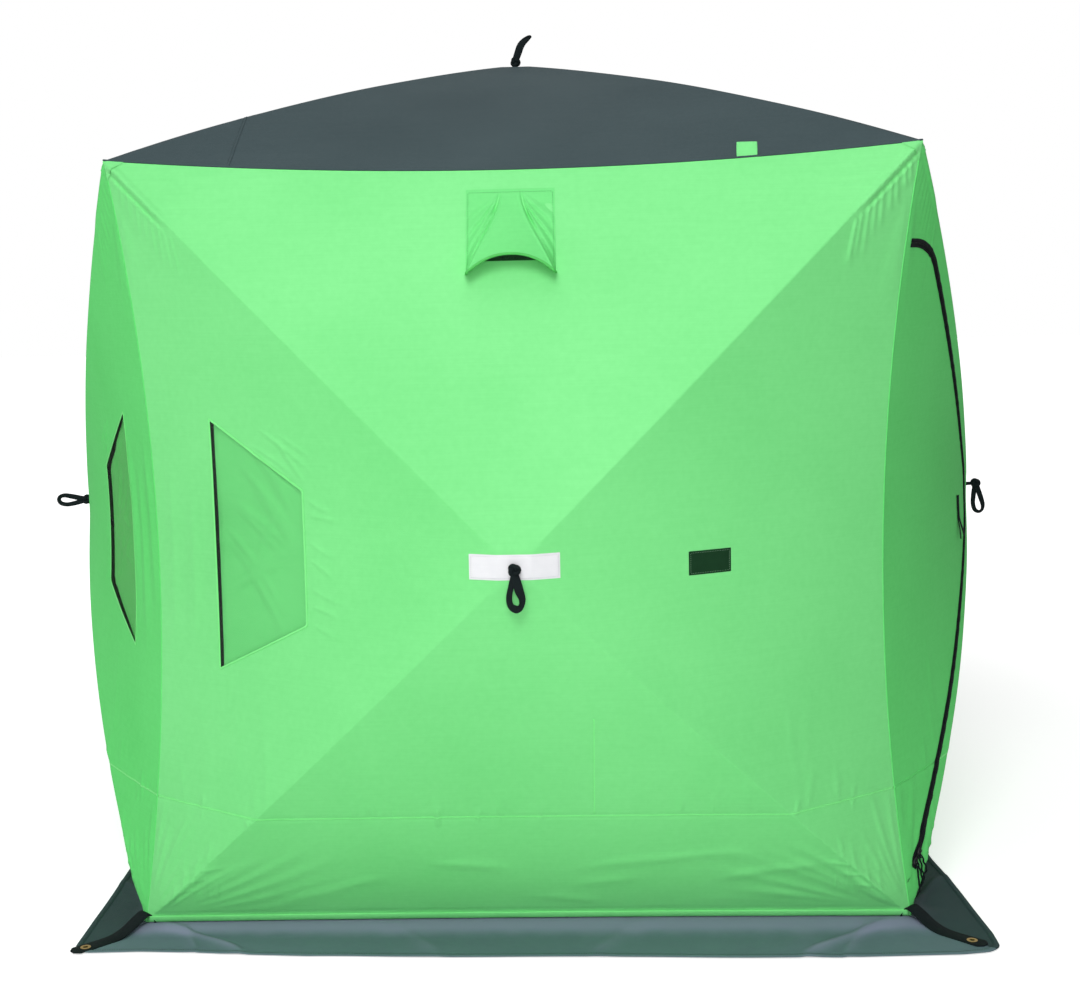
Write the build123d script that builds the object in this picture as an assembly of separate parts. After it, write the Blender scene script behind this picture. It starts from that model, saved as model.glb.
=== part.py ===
from build123d import *
from collections import namedtuple
from math import atan2, degrees, hypot, sqrt, tan
import os

# A free-standing hub shelter: four bulging fabric walls and a domed roof, each pushed out by a hub
# and four rods, with a snow skirt and no floor. Millimetres, +Z up, origin at the middle of the
# footprint on the ground. The front faces -Y and the door is in the +X wall.

# Overall form
corner_half = 900.0          # half the width across the top corners
foot_tuck = 5.0              # the feet stand this much further in than the top corners
corner_height = 1785.0
foot_height = 20.0           # the walls' bottom edge above the ground
hub_height = 910.0           # the wall hubs above the ground
wall_bulge = 325.0           # how far a wall hub stands out past the line between its corners
roof_rise = 285.0            # the roof hub above the top corners
upper_bow = 22.0             # how far a rod bends out of line, hub to top corner
lower_bow = 42.0             # the same, hub to foot
roof_bow = 27.0              # the same, roof hub to top corner
corner_seam_draw = 62.0      # how far the upright corner seams are drawn in at mid height
top_edge_draw = 38.0         # how far the edges between walls and roof are drawn in and down
bottom_edge_draw = 8.0       # how far the bottom edges are drawn in
hub_pad_half = 35.0          # half the flat of fabric over a hub
fabric_thickness = 3.0

# Seams
lower_band_height = 317.0    # the seam along the top of the lower band
roof_strip_edge = 650.0      # the roof's side strip starts this far left of the middle

# Snow skirt
skirt_reach = 150.0          # from the walls' bottom edge to the skirt's edge
skirt_thickness = 3.0
skirt_tuck = 20.0            # the strip that runs in under the wall's edge
skirt_lip = 2.0              # it bends down this far outside the wall's edge
skirt_slope_run = 26.0       # and has come down to the ground this far out
skirt_corner_radius = 40.0

# Door
door_strip = 21.0            # cloth between the corner seam, where it is furthest in, and the hinge
door_top_run = 69.0          # the level stretch of the zip at its top, from the hinge line
door_upper_inset = 50.0      # from the upper rod line to the middle of the zip
door_lower_inset = 40.0      # from the lower rod line to the middle of the zip
door_corner_radius = 100.0
door_nose_radius = 120.0     # the turn of the zip round the hub
zip_gap = 6.0                # between the two halves of the zip
zip_tape_width = 13.0        # each side of the gap
zip_run_on = 32.0            # the closed zip runs on past the hinge line, towards the seam
hinge_gap = 10.0             # between the door and the wall along the hinge
door_foot_lift = 22.0        # the foot of the door is drawn up this much at the hinge line, so that it
door_foot_run = 74.0         # clears the track as the door swings, and comes back to the zip this far on
tab_width = 14.0             # tie-back tab on the door
tab_height = 100.0
tab_from_middle = 242.0
tab_drop = 53.0              # its middle below the hub

# Windows: a tall side near a corner seam and a short side nearer the hub
window_outer = 680.0         # the tall side, from the middle of the wall
window_inner = 464.0         # the short side
window_outer_drop = 268.0    # the tall side's ends below and above the hub
window_outer_rise = 298.0
window_inner_drop = 148.0    # the short side's ends below and above the hub
window_inner_rise = 147.0
film_thickness = 1.0
blind_thickness = 1.5
blind_overlap = 14.0         # the blind laps behind the wall round the window

# Vents
vent_hood_half = 98.0
vent_hood_top = 82.0         # its top seam below the top corners
vent_hood_height = 185.0     # from its top seam to the mouth's lower corners
vent_bulge = 50.0            # how far the mouth stands out
vent_arch = 40.0             # how far the mouth's middle is lifted
vent_sink = 6.0              # the hood's edges start this far under the wall, and are trimmed off
under_skin = 60.0            # how deep a solid of the shelter's shape trims what is sewn on it
vent_hole_half = 60.0
vent_hole_drop = 145.0       # the hole's top below the top corners
vent_hole_height = 80.0
mesh_thickness = 1.0

# Patches and tabs
patch_thickness = 1.5
reflector_half = 95.0
reflector_drop = 24.0        # its edges below and above the hub
reflector_rise = 30.0
hook_patch_width = 95.0
hook_patch_from_middle = 418.5
hook_patch_drop = 44.0       # its edges below and above the hub
hook_patch_rise = 8.0
roof_tab_width = 44.0
roof_tab_from_corner = 377.0
roof_tab_height = 34.0

# Frame
rod_radius = 5.5
rod_drop = 20.0              # a rod's axis below the fabric ridge that it holds out
hub_radius = 33.0
hub_depth = 24.0
socket_radius = 9.0
socket_back = 22.0           # a socket runs this far back into the hub from the rod's end
socket_reach = 34.0          # and this far out along the rod
socket_clearance = 0.4
ball_radius = 16.0           # cap in each top corner
ball_inset = 17.0            # its centre, in from the corner along each direction
foot_radius = 18.0
foot_inset = 42.0
foot_size = 36.0             # height of a foot
foot_rod_height = 22.0       # where the rods meet a foot
end_clearance = 0.4          # between a rod's end and its cap or foot

# Corner straps, from the walls' feet to the corners of the skirt
webbing_thickness = 2.5
corner_strap_width = 40.0
strap_start_gap = 5.0        # along X and Y, from the wall's corner
strap_start_height = 21.0
strap_hump_run = 18.0        # its highest point, out from its start
strap_hump_height = 44.0
strap_flat_lead = 16.0       # it lies flat this far before the grommet, along X and Y
strap_tip_inset = 14.0       # its tip, in from the skirt's edges
grommet_inset = 37.0         # in from the skirt's edges
grommet_bore_radius = 6.0
grommet_barrel_radius = 8.0
grommet_flange_radius = 12.0
grommet_flange_thickness = 1.5

# Pull straps: a neck and a knot on each hub, and a loop of webbing that starts in the knot
neck_radius = 5.0
neck_height = 4.0
knot_radius = 13.0
loop_width = 40.0
loop_length = 84.0
loop_band = 11.0             # the webbing round the hole
loop_thickness = 6.0
right_neck_height = 21.0     # this strap stands off further than the others
right_strap_lean = 8.0       # degrees out from hanging straight down
roof_strap_lean = 25.0       # degrees from upright

# Zip sliders and their cord pulls, at the foot of the zip
slider_width = 13.0
slider_length = 18.0
slider_thickness = 5.0
slider_from_hinge = 8.0      # the first slider, past the hinge line
slider_spacing = 18.0        # across, from one to the other
cord_loop_width = 11.0
cord_loop_length = 86.0
cord_thickness = 3.0

reach = 3000.0               # longer than the whole shelter, for cutting tools

foot_half = corner_half - foot_tuck
skirt_half = foot_half + skirt_reach
door_hinge_from_middle = (corner_half + foot_half) / 2 - corner_seam_draw - door_strip

Skin = namedtuple("Skin", "corners hub bows draws")


def wall_hub_reach():
    lean = foot_tuck * (hub_height - foot_height) / (corner_height - foot_height)
    return foot_half + lean + wall_bulge


# A wall lies in its own frame: X to the right seen from outside, Y up, Z outwards.
# Corners run top left, top right, bottom right, bottom left, and edges start from them in turn.
def wall_skin(lift):
    top_half = corner_half + lift
    low_half = foot_half + lift
    top = corner_height + lift
    corners = [
        Vector(-top_half, top, top_half),
        Vector(top_half, top, top_half),
        Vector(low_half, foot_height, low_half),
        Vector(-low_half, foot_height, low_half),
    ]
    hub_point = Vector(0, hub_height, wall_hub_reach() + lift)
    bows = [upper_bow, upper_bow, lower_bow, lower_bow]
    draws = [
        Vector(0, -top_edge_draw, -top_edge_draw),
        Vector(-corner_seam_draw, 0, -corner_seam_draw),
        Vector(0, 0, -bottom_edge_draw),
        Vector(corner_seam_draw, 0, -corner_seam_draw),
    ]
    return Skin(corners, hub_point, bows, draws)


# The roof's own frame is the shelter's: its first edge is the back one.
def roof_skin(lift):
    half = corner_half + lift
    top = corner_height + lift
    corners = [Vector(x * half, y * half, top) for x, y in ((-1, 1), (1, 1), (1, -1), (-1, -1))]
    hub_point = Vector(0, 0, corner_height + roof_rise + lift)
    draws = [
        Vector(0, -top_edge_draw, -top_edge_draw),
        Vector(-top_edge_draw, 0, -top_edge_draw),
        Vector(0, top_edge_draw, -top_edge_draw),
        Vector(top_edge_draw, 0, -top_edge_draw),
    ]
    return Skin(corners, hub_point, [roof_bow] * 4, draws)


def pad_corner(skin, corner):
    out = corner - skin.hub
    share = hub_pad_half / abs(out.X)
    return skin.hub + Vector(out.X * share, out.Y * share, 0)


def middle(first, second):
    return (first + second) * 0.5


# Control net of one facet: the hub pad's edge, the rods' bow, then the drawn-in outer edge.
def facet_net(skin, edge):
    after = (edge + 1) % 4
    ends = [skin.corners[edge], skin.corners[after]]
    pads = [pad_corner(skin, end) for end in ends]
    bows = [skin.bows[edge], skin.bows[after]]
    ridges = [middle(pad, end) + Vector(0, 0, 2 * bow) for pad, end, bow in zip(pads, ends, bows)]
    outer = middle(*ends) + 2 * skin.draws[edge]
    inner = middle(*ridges) + skin.draws[edge]
    return [[pads[0], middle(*pads), pads[1]], [ridges[0], inner, ridges[1]], [ends[0], outer, ends[1]]]


def pad_net(skin):
    first, second, third, fourth = [pad_corner(skin, corner) for corner in skin.corners]
    top = [first, middle(first, second), second]
    low = [fourth, middle(fourth, third), third]
    return [top, [middle(a, b) for a, b in zip(top, low)], low]


# The closed layer of cloth between two skins.
def layer(outer, inner):
    faces = []
    for skin in (outer, inner):
        faces += [Face.make_bezier_surface(facet_net(skin, edge)) for edge in range(4)]
        faces.append(Face.make_bezier_surface(pad_net(skin)))
    for edge in range(4):
        faces.append(Face.make_bezier_surface([facet_net(outer, edge)[2], facet_net(inner, edge)[2]]))
    return Solid(Shell(faces))


def wall_layer(low, high):
    return layer(wall_skin(high), wall_skin(low))


def polygon(points):
    return make_face(Polyline(*points, close=True))


# A cutting column through a wall, with the given outline in the wall's own X and Y.
def column(outline):
    return extrude(Plane.XY.offset(corner_half / 2) * outline, reach)


def rectangle(left, right, low, high):
    return Pos((left + right) / 2, (low + high) / 2) * Rectangle(right - left, high - low)


def below(height):
    return Pos(0, height - reach / 2, 0) * Box(reach, reach, reach)


# Four columns, one for each wall: the window is at the left or at the right of its wall.
def window_column(end, grow):
    outer = window_outer + grow
    inner = window_inner - grow
    outline = polygon([
        (-outer, hub_height - window_outer_drop - grow),
        (-inner, hub_height - window_inner_drop - grow),
        (-inner, hub_height + window_inner_rise + grow),
        (-outer, hub_height + window_outer_rise + grow),
    ])
    shape = column(outline)
    return shape if end == "left" else mirror(shape, Plane.YZ)


# Slope of a rod line from the hub to a corner, seen from outside.
upper_slope = (corner_height - hub_height) / corner_half
lower_slope = (hub_height - foot_height) / foot_half


# Height of the middle of the zip along the lower rod line, at a distance left of the wall's middle.
def lower_zip_height(distance, grow=0.0):
    return hub_height - lower_slope * distance + (door_lower_inset - grow) * hypot(1, lower_slope)


# The door's outline, grown past the middle of the zip and past the hinge line.
def door_outline(grow, hinge_grow):
    upper = hub_height - (door_upper_inset - grow) * hypot(1, upper_slope)
    ungrown = hub_height - door_upper_inset * hypot(1, upper_slope)
    top = ungrown + upper_slope * (door_hinge_from_middle - door_top_run) + grow
    hinge = door_hinge_from_middle + hinge_grow
    top_turn = (top - upper) / upper_slope
    nose = (lower_zip_height(0, grow) - upper) / (upper_slope + lower_slope)
    nose_height = upper + upper_slope * nose
    corners = [(-hinge, lower_zip_height(hinge, grow)), (-nose, nose_height), (-top_turn, top), (-hinge, top)]
    outline = polygon(corners)
    outline = fillet(outline.vertices().sort_by(Axis.X)[-1], door_nose_radius + grow)
    shoulder = outline.vertices().sort_by_distance((-top_turn, top))[0]
    return fillet(shoulder, door_corner_radius + grow)


# What is cut off the foot of the door, from the hinge line on.
def door_foot_trim(grow):
    far = door_hinge_from_middle - door_foot_run
    near_height = lower_zip_height(door_hinge_from_middle, grow)
    far_height = lower_zip_height(far, grow)
    return polygon([
        (-door_hinge_from_middle, near_height - door_foot_run),
        (-far, far_height - door_foot_run),
        (-far, far_height),
        (-door_hinge_from_middle, near_height + door_foot_lift),
    ])


# A quadratic curve through a control net's row: three points and a share of the way.
def blend(points, share):
    first, second, third = points
    return first * (1 - share) ** 2 + second * 2 * share * (1 - share) + third * share ** 2


# How far along a facet its middle line reaches a height, from the hub at 0 to the edge at 1.
def along_at(net, height):
    first, second, third = [blend([point.Y for point in row], 0.5) for row in net]
    square = first - 2 * second + third
    slope = second - first
    return (height - first) / (slope + sqrt(slope ** 2 + square * (height - first)))


def point_on(net, across, along):
    row = [blend([net[0][i], net[1][i], net[2][i]], along) for i in range(3)]
    share = (across / row[2].X + 1) / 2
    return blend(row, share)


# A square hood of cloth over the vent: sewn down at its top and sides, with an arched mouth below.
def vent_hood():
    net = facet_net(wall_skin(0), 0)
    top = along_at(net, corner_height - vent_hood_top)
    mouth = along_at(net, corner_height - vent_hood_top - vent_hood_height)
    sink = Vector(0, 0, -vent_sink)
    rows = []
    for along, bulge, arch in (
        (top, 0, 0),
        ((top + mouth) / 2, vent_bulge, 0),
        (mouth, 2 * vent_bulge, 2 * vent_arch),
    ):
        left = point_on(net, -vent_hood_half, along) + sink
        right = point_on(net, vent_hood_half, along) + sink
        centre = point_on(net, 0, along) + Vector(0, arch, bulge) - sink
        rows.append([left, centre, right])
    under = [[point - Vector(0, 0, fabric_thickness) for point in row] for row in rows]
    faces = [Face.make_bezier_surface(rows), Face.make_bezier_surface(under)]
    faces += [Face.make_bezier_surface([rows[i], under[i]]) for i in (0, 2)]
    for end in (0, 2):
        faces.append(Face.make_bezier_surface([[row[end] for row in rows], [row[end] for row in under]]))
    hood = Solid(Shell(faces)) - wall_layer(-under_skin, 0)
    return hood.solids().sort_by(SortBy.VOLUME)[-1]


def rod_path(skin, index, target):
    start = pad_corner(skin, skin.corners[index]) - Vector(0, 0, rod_drop)
    bend = middle(start, target) + Vector(0, 0, skin.bows[index])
    return Edge.make_three_point_arc(start, bend, target)


def tube(path, radius):
    return sweep(Plane(path @ 0, z_dir=path % 0) * Circle(radius), path=path)


def hub(skin, paths):
    back = skin.hub - Vector(0, 0, fabric_thickness + hub_depth)
    body = Pos(back.X, back.Y, back.Z + hub_depth / 2) * Cylinder(hub_radius, hub_depth)
    for path in paths:
        arm = Plane(path @ 0, z_dir=path % 0) * Pos(0, 0, (socket_reach - socket_back) / 2)
        body += arm * Cylinder(socket_radius, socket_back + socket_reach)
    for path in paths:
        bore = Plane(path @ 0, z_dir=path % 0) * Pos(0, 0, reach / 2 - socket_clearance)
        body -= bore * Cylinder(rod_radius + socket_clearance, reach)
    return body


def save(name, shape):
    shapes = shape if isinstance(shape, list) else [shape]
    solids = [solid for each in shapes for solid in each.solids()]
    export_step(Compound(children=solids) if len(solids) > 1 else solids[0], f"parts/{name}.step")


os.makedirs("parts", exist_ok=True)

sides = {
    "front": Plane(origin=(0, 0, 0), x_dir=(1, 0, 0), z_dir=(0, -1, 0)),
    "back": Plane(origin=(0, 0, 0), x_dir=(-1, 0, 0), z_dir=(0, 1, 0)),
    "left": Plane(origin=(0, 0, 0), x_dir=(0, -1, 0), z_dir=(-1, 0, 0)),
    "right": Plane(origin=(0, 0, 0), x_dir=(0, 1, 0), z_dir=(1, 0, 0)),
}
window_end = {"front": "left", "back": "left", "left": "right", "right": "right"}

# Walls
cloth = wall_layer(-fabric_thickness, 0)
overlay = wall_layer(0, patch_thickness)
half_zip = zip_gap / 2
half_hinge = hinge_gap / 2
whole_zip = half_zip + zip_tape_width
closed_end = half_hinge + zip_run_on
door_opening = column(door_outline(half_zip, half_hinge))
zip_band = column(door_outline(whole_zip, closed_end))
zip_band -= column(door_outline(-whole_zip, closed_end + zip_gap))
vent_top = corner_height - vent_hole_drop
vent_column = column(rectangle(-vent_hole_half, vent_hole_half, vent_top - vent_hole_height, vent_top))
films = []
blinds = []
meshes = []
for side, place in sides.items():
    wall = cloth - window_column(window_end[side], 0)
    film = wall_layer(-film_thickness, 0) & window_column(window_end[side], 0)
    blind = wall_layer(-fabric_thickness - blind_thickness, -fabric_thickness)
    blind &= window_column(window_end[side], blind_overlap)
    films.append(place * film)
    blinds.append(place * blind)
    if side in ("front", "back"):
        wall -= vent_column
        meshes.append(place * (wall_layer(-mesh_thickness, 0) & vent_column))
        save(f"{side}_vent_hood", place * vent_hood())
    if side == "right":
        wall -= door_opening
        wall -= zip_band
    save(f"{side}_wall", place * (wall - below(lower_band_height)))
    save(f"{side}_lower_band", place * (wall & below(lower_band_height)))
save("window_films", films)
save("window_blinds", blinds)
save("vent_meshes", meshes)

# Door, in the right wall
right = sides["right"]
leaf = cloth & column(door_outline(-whole_zip, -half_hinge))
tape = cloth & column(door_outline(-half_zip, -half_hinge))
leaf -= column(door_foot_trim(-half_zip))
tape -= column(door_foot_trim(-half_zip))
tab_middle = hub_height - tab_drop
tab_outline = Pos(-tab_from_middle, tab_middle) * Rectangle(tab_width, tab_height)
save("door_panel", right * leaf)
save("door_zip_tape", right * (tape - leaf))
save("door_tie_tab", right * (overlay & column(tab_outline)))
save("door_zip_track", right * ((cloth & zip_band) - door_opening))

# Zip sliders on the closed end of the zip, each with a loop of cord
zip_angle = -degrees(atan2(lower_slope, 1))
cord_loop = SlotOverall(cord_loop_length, cord_loop_width, rotation=90)
cord_hole = Vector(cord_loop_length - 2 * cord_thickness, cord_loop_width - 2 * cord_thickness)
cord_loop -= SlotOverall(cord_hole.X, cord_hole.Y, rotation=90)
pulls = []
for index in range(2):
    from_middle = door_hinge_from_middle + slider_from_hinge + index * slider_spacing
    centre = Pos(-from_middle, lower_zip_height(from_middle))
    slider_outline = centre * Rot(Z=zip_angle) * Rectangle(slider_length, slider_width)
    loop_outline = centre * Pos(0, -cord_loop_length / 2) * cord_loop
    pull = wall_layer(0, slider_thickness) & column(slider_outline)
    pull += wall_layer(0, cord_thickness) & column(loop_outline)
    pulls.append(right * pull)
save("door_zip_pulls", pulls)

# Roof
roof = layer(roof_skin(0), roof_skin(-fabric_thickness))
strip_side = Pos(-roof_strip_edge - reach / 2, 0, 0) * Box(reach, reach, 2 * reach)
save("roof_panel", roof - strip_side)
save("roof_side_strip", roof & strip_side)

# Patches, stuck on the outside of the cloth
reflector_low = hub_height - reflector_drop
reflector = rectangle(-reflector_half, reflector_half, reflector_low, hub_height + reflector_rise)
hook_left = hook_patch_from_middle - hook_patch_width / 2
hook_right = hook_patch_from_middle + hook_patch_width / 2
hook = rectangle(hook_left, hook_right, hub_height - hook_patch_drop, hub_height + hook_patch_rise)
save("front_reflective_patch", sides["front"] * (overlay & column(reflector)))
save("back_reflective_patch", sides["back"] * (overlay & column(reflector)))
save("front_hook_patch", sides["front"] * (overlay & column(hook)))

# A tab of cloth that stands up from the seam between the front wall and the roof
roof_tab_from_middle = corner_half - roof_tab_from_corner
seam_share = (roof_tab_from_middle / corner_half + 1) / 2
seam_drop = 4 * top_edge_draw * seam_share * (1 - seam_share)
tab_base = Pos(roof_tab_from_middle, seam_drop - corner_half, corner_height - seam_drop)
roof_tab = tab_base * Box(roof_tab_width, patch_thickness, 2 * roof_tab_height)
roof_tab -= sides["front"] * wall_layer(-under_skin, 0)
roof_tab -= layer(roof_skin(0), roof_skin(-under_skin))
save("roof_tab", roof_tab.solids().sort_by(Axis.Z)[-1])

# Snow skirt: it runs in under the wall, comes down and lies on the ground, mitred at the corners
tuck = foot_half - skirt_tuck
under_wall = foot_height - skirt_thickness
bend_out = foot_half + skirt_lip
bend_down = foot_half + skirt_slope_run
slope_shift = skirt_thickness * tan(atan2(under_wall, bend_down - bend_out) / 2)
skirt_profile = [
    (tuck, under_wall),
    (bend_out, under_wall),
    (bend_down, 0),
    (skirt_half, 0),
    (skirt_half, skirt_thickness),
    (bend_down + slope_shift, skirt_thickness),
    (bend_out + slope_shift, foot_height),
    (tuck, foot_height),
]
mitre = polygon([(0, 0), (reach, reach), (reach, -reach)])
rounded = extrude(RectangleRounded(2 * skirt_half, 2 * skirt_half, skirt_corner_radius), foot_height)
flap = extrude(Plane.XZ * polygon(skirt_profile), reach / 2, both=True)
flap &= extrude(mitre, foot_height) & rounded

# Corner straps: each rises from the skirt at the wall's corner and lies down to the skirt's tip
diagonal = sqrt(2)
strap_start = (foot_half + strap_start_gap) * diagonal
grommet_centre = (skirt_half - grommet_inset) * diagonal
strap_flat = grommet_centre - strap_flat_lead * diagonal
strap_tip = (skirt_half - strap_tip_inset) * diagonal
strap_rest = skirt_thickness + webbing_thickness / 2
strap_points = [
    (strap_start, strap_start_height),
    (strap_start + strap_hump_run, strap_hump_height),
    (strap_flat, strap_rest),
]
strap_line = Spline(strap_points, tangents=[(0, 1), (1, 0)])
strap_line += Line((strap_flat, strap_rest), (strap_tip, strap_rest))
strap_face = trace(strap_line, line_width=webbing_thickness)
strap = extrude(Plane.XZ * strap_face, corner_strap_width / 2, both=True)
barrel = Pos(grommet_centre, 0, 0) * Cylinder(grommet_barrel_radius, reach)
grommet_top = skirt_thickness + webbing_thickness
flange = Cylinder(grommet_flange_radius, grommet_flange_thickness)
stem = Cylinder(grommet_barrel_radius, grommet_top)
grommet = Pos(0, 0, grommet_top + grommet_flange_thickness / 2) * flange + Pos(0, 0, grommet_top / 2) * stem
grommet = Pos(grommet_centre, 0, 0) * (grommet - Cylinder(grommet_bore_radius, reach))
corner_turns = [Rot(Z=45 + 90 * turn) for turn in range(4)]
for name, turn in (("right", 0), ("back", 90), ("left", 180), ("front", 270)):
    skirt = Rot(Z=turn) * flap
    for corner in corner_turns:
        skirt -= corner * barrel
    save(f"{name}_skirt", skirt)
save("corner_straps", [corner * (strap - barrel) for corner in corner_turns])
save("corner_grommets", [corner * grommet for corner in corner_turns])

# Hubs, rods, corner caps and feet
ball_point = corner_half - ball_inset
ball_height = corner_height - ball_inset
foot_point = foot_half - foot_inset
ball_cut = Sphere(ball_radius + end_clearance)
foot_cut = Cylinder(foot_radius + end_clearance, reach, rotation=(90, 0, 0))
wall_targets = [
    (Vector(-ball_point, ball_height, ball_point), ball_cut),
    (Vector(ball_point, ball_height, ball_point), ball_cut),
    (Vector(foot_point, foot_rod_height, foot_point), foot_cut),
    (Vector(-foot_point, foot_rod_height, foot_point), foot_cut),
]
plan_corners = ((-1, 1), (1, 1), (1, -1), (-1, -1))
ball_centres = [Vector(x * ball_point, y * ball_point, ball_height) for x, y in plan_corners]
wall_paths = [rod_path(wall_skin(0), index, target) for index, (target, cut) in enumerate(wall_targets)]
roof_paths = [rod_path(roof_skin(0), index, target) for index, target in enumerate(ball_centres)]
wall_rods = []
for path, (target, cut) in zip(wall_paths, wall_targets):
    wall_rods.append(tube(path, rod_radius) - Pos(target) * cut)
roof_rods = []
for path, target in zip(roof_paths, ball_centres):
    roof_rods.append(tube(path, rod_radius) - Pos(target) * ball_cut)
wall_hub = hub(wall_skin(0), wall_paths)
save("wall_rods", [place * rod for place in sides.values() for rod in wall_rods])
save("roof_rods", roof_rods)
save("wall_hubs", [place * wall_hub for place in sides.values()])
save("roof_hub", hub(roof_skin(0), roof_paths))
save("corner_caps", [Pos(centre) * Sphere(ball_radius) for centre in ball_centres])
foot = Cylinder(foot_radius, foot_size)
save("feet", [Pos(x * foot_point, y * foot_point, foot_size / 2) * foot for x, y in plan_corners])


# A pull strap on a hub. Its loop hangs down, is turned about its own length, swung out and leant over.
def pull_strap(turn, swing, lean=0.0, neck=neck_height):
    outer = SlotOverall(loop_length, loop_width, rotation=90)
    hole = SlotOverall(loop_length - 2 * loop_band, loop_width - 2 * loop_band, rotation=90)
    ring = Pos(0, -loop_length / 2, -loop_thickness / 2) * extrude(outer - hole, loop_thickness)
    ring = Rot(Y=lean) * Rot(X=swing) * Rot(Y=turn) * ring
    knot_centre = Pos(0, 0, neck + knot_radius)
    stem = Pos(0, 0, knot_centre.position.Z / 2) * Cylinder(neck_radius, knot_centre.position.Z)
    return stem + knot_centre * Sphere(knot_radius) + knot_centre * ring


wall_straps = []
for side, strap in (
    ("front", pull_strap(0, 0)),
    ("back", pull_strap(0, 0)),
    ("left", pull_strap(90, -90)),
    ("right", pull_strap(90, -right_strap_lean, neck=right_neck_height)),
):
    base = wall_hub_reach() + (patch_thickness if side in ("front", "back") else 0)
    wall_straps.append(sides[side] * Pos(0, hub_height, base) * strap)
save("wall_pull_straps", wall_straps)
save("roof_pull_strap", Pos(0, 0, corner_height + roof_rise) * pull_strap(0, -90, lean=roof_strap_lean))
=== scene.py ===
import math

import bpy
import numpy as np
from mathutils import Matrix, Vector
from mathutils.geometry import delaunay_2d_cdt


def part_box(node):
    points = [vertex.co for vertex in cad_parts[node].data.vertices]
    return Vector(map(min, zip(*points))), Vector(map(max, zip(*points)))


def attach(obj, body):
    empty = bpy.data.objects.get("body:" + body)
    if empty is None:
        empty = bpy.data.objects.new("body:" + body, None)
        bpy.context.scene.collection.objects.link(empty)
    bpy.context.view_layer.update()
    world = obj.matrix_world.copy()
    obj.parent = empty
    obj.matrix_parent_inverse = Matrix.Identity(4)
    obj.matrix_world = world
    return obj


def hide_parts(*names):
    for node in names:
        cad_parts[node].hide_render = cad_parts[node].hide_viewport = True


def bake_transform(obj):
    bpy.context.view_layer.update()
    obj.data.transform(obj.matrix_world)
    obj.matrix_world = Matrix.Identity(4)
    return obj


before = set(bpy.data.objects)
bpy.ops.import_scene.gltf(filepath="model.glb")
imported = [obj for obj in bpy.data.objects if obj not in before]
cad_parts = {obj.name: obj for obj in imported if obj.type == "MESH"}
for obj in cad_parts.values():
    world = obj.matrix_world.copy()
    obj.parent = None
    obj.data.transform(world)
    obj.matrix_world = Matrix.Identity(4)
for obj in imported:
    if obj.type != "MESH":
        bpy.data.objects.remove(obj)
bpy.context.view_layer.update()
print("frame loaded")

# the shelter's form: four walls and a roof, each a skin between a hub and four corners

wallLow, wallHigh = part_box("front_wall")
bandLow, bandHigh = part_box("front_lower_band")
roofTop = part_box("roof_panel")[1].z
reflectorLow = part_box("front_reflective_patch")[0].z
form = {
    "cornerHalf": wallHigh.x, "cornerHeight": wallHigh.z,
    "footHalf": bandHigh.x, "footHeight": bandLow.z,
    "hubReach": -wallLow.y, "hubHeight": reflectorLow + 0.024,
    "bandHeight": bandHigh.z, "padHalf": 0.035,
    "upperBow": 0.022, "lowerBow": 0.042, "roofBow": 0.027,    # how far the rods bend outwards
    "seamDraw": 0.062, "topDraw": 0.038, "bottomDraw": 0.008,  # how far the edges are drawn in
}

walls = ("front", "back", "left", "right")
endWalls = ("front", "back")        # the two with a vent hood

# across, up and out, for each side
sideAxes = {
    "front": ((1, 0, 0), (0, 0, 1), (0, -1, 0)),
    "back": ((-1, 0, 0), (0, 0, 1), (0, 1, 0)),
    "left": ((0, -1, 0), (0, 0, 1), (-1, 0, 0)),
    "right": ((0, 1, 0), (0, 0, 1), (1, 0, 0)),
    "roof": ((1, 0, 0), (0, 1, 0), (0, 0, 1)),
}


def wallSkin():
    top, foot = form["cornerHalf"], form["footHalf"]
    high, low = form["cornerHeight"], form["footHeight"]
    seam, edge, bottom = form["seamDraw"], form["topDraw"], form["bottomDraw"]
    return {
        "hub": np.array((0, form["hubHeight"], form["hubReach"])),
        "corners": np.array(((-top, high, top), (top, high, top), (foot, low, foot), (-foot, low, foot))),
        "bows": (form["upperBow"], form["upperBow"], form["lowerBow"], form["lowerBow"]),
        "draws": np.array(((0, -edge, -edge), (-seam, 0, -seam), (0, 0, -bottom), (seam, 0, -seam))),
    }


def roofSkin():
    half, high, edge = form["cornerHalf"], form["cornerHeight"], form["topDraw"]
    return {
        "hub": np.array((0, 0, roofTop)),
        "corners": np.array(((-half, half, high), (half, half, high), (half, -half, high), (-half, -half, high))),
        "bows": (form["roofBow"],) * 4,
        "draws": np.array(((0, -edge, -edge), (-edge, 0, -edge), (0, edge, -edge), (edge, 0, -edge))),
    }


skins = {side: wallSkin() for side in walls}
skins["roof"] = roofSkin()


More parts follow.
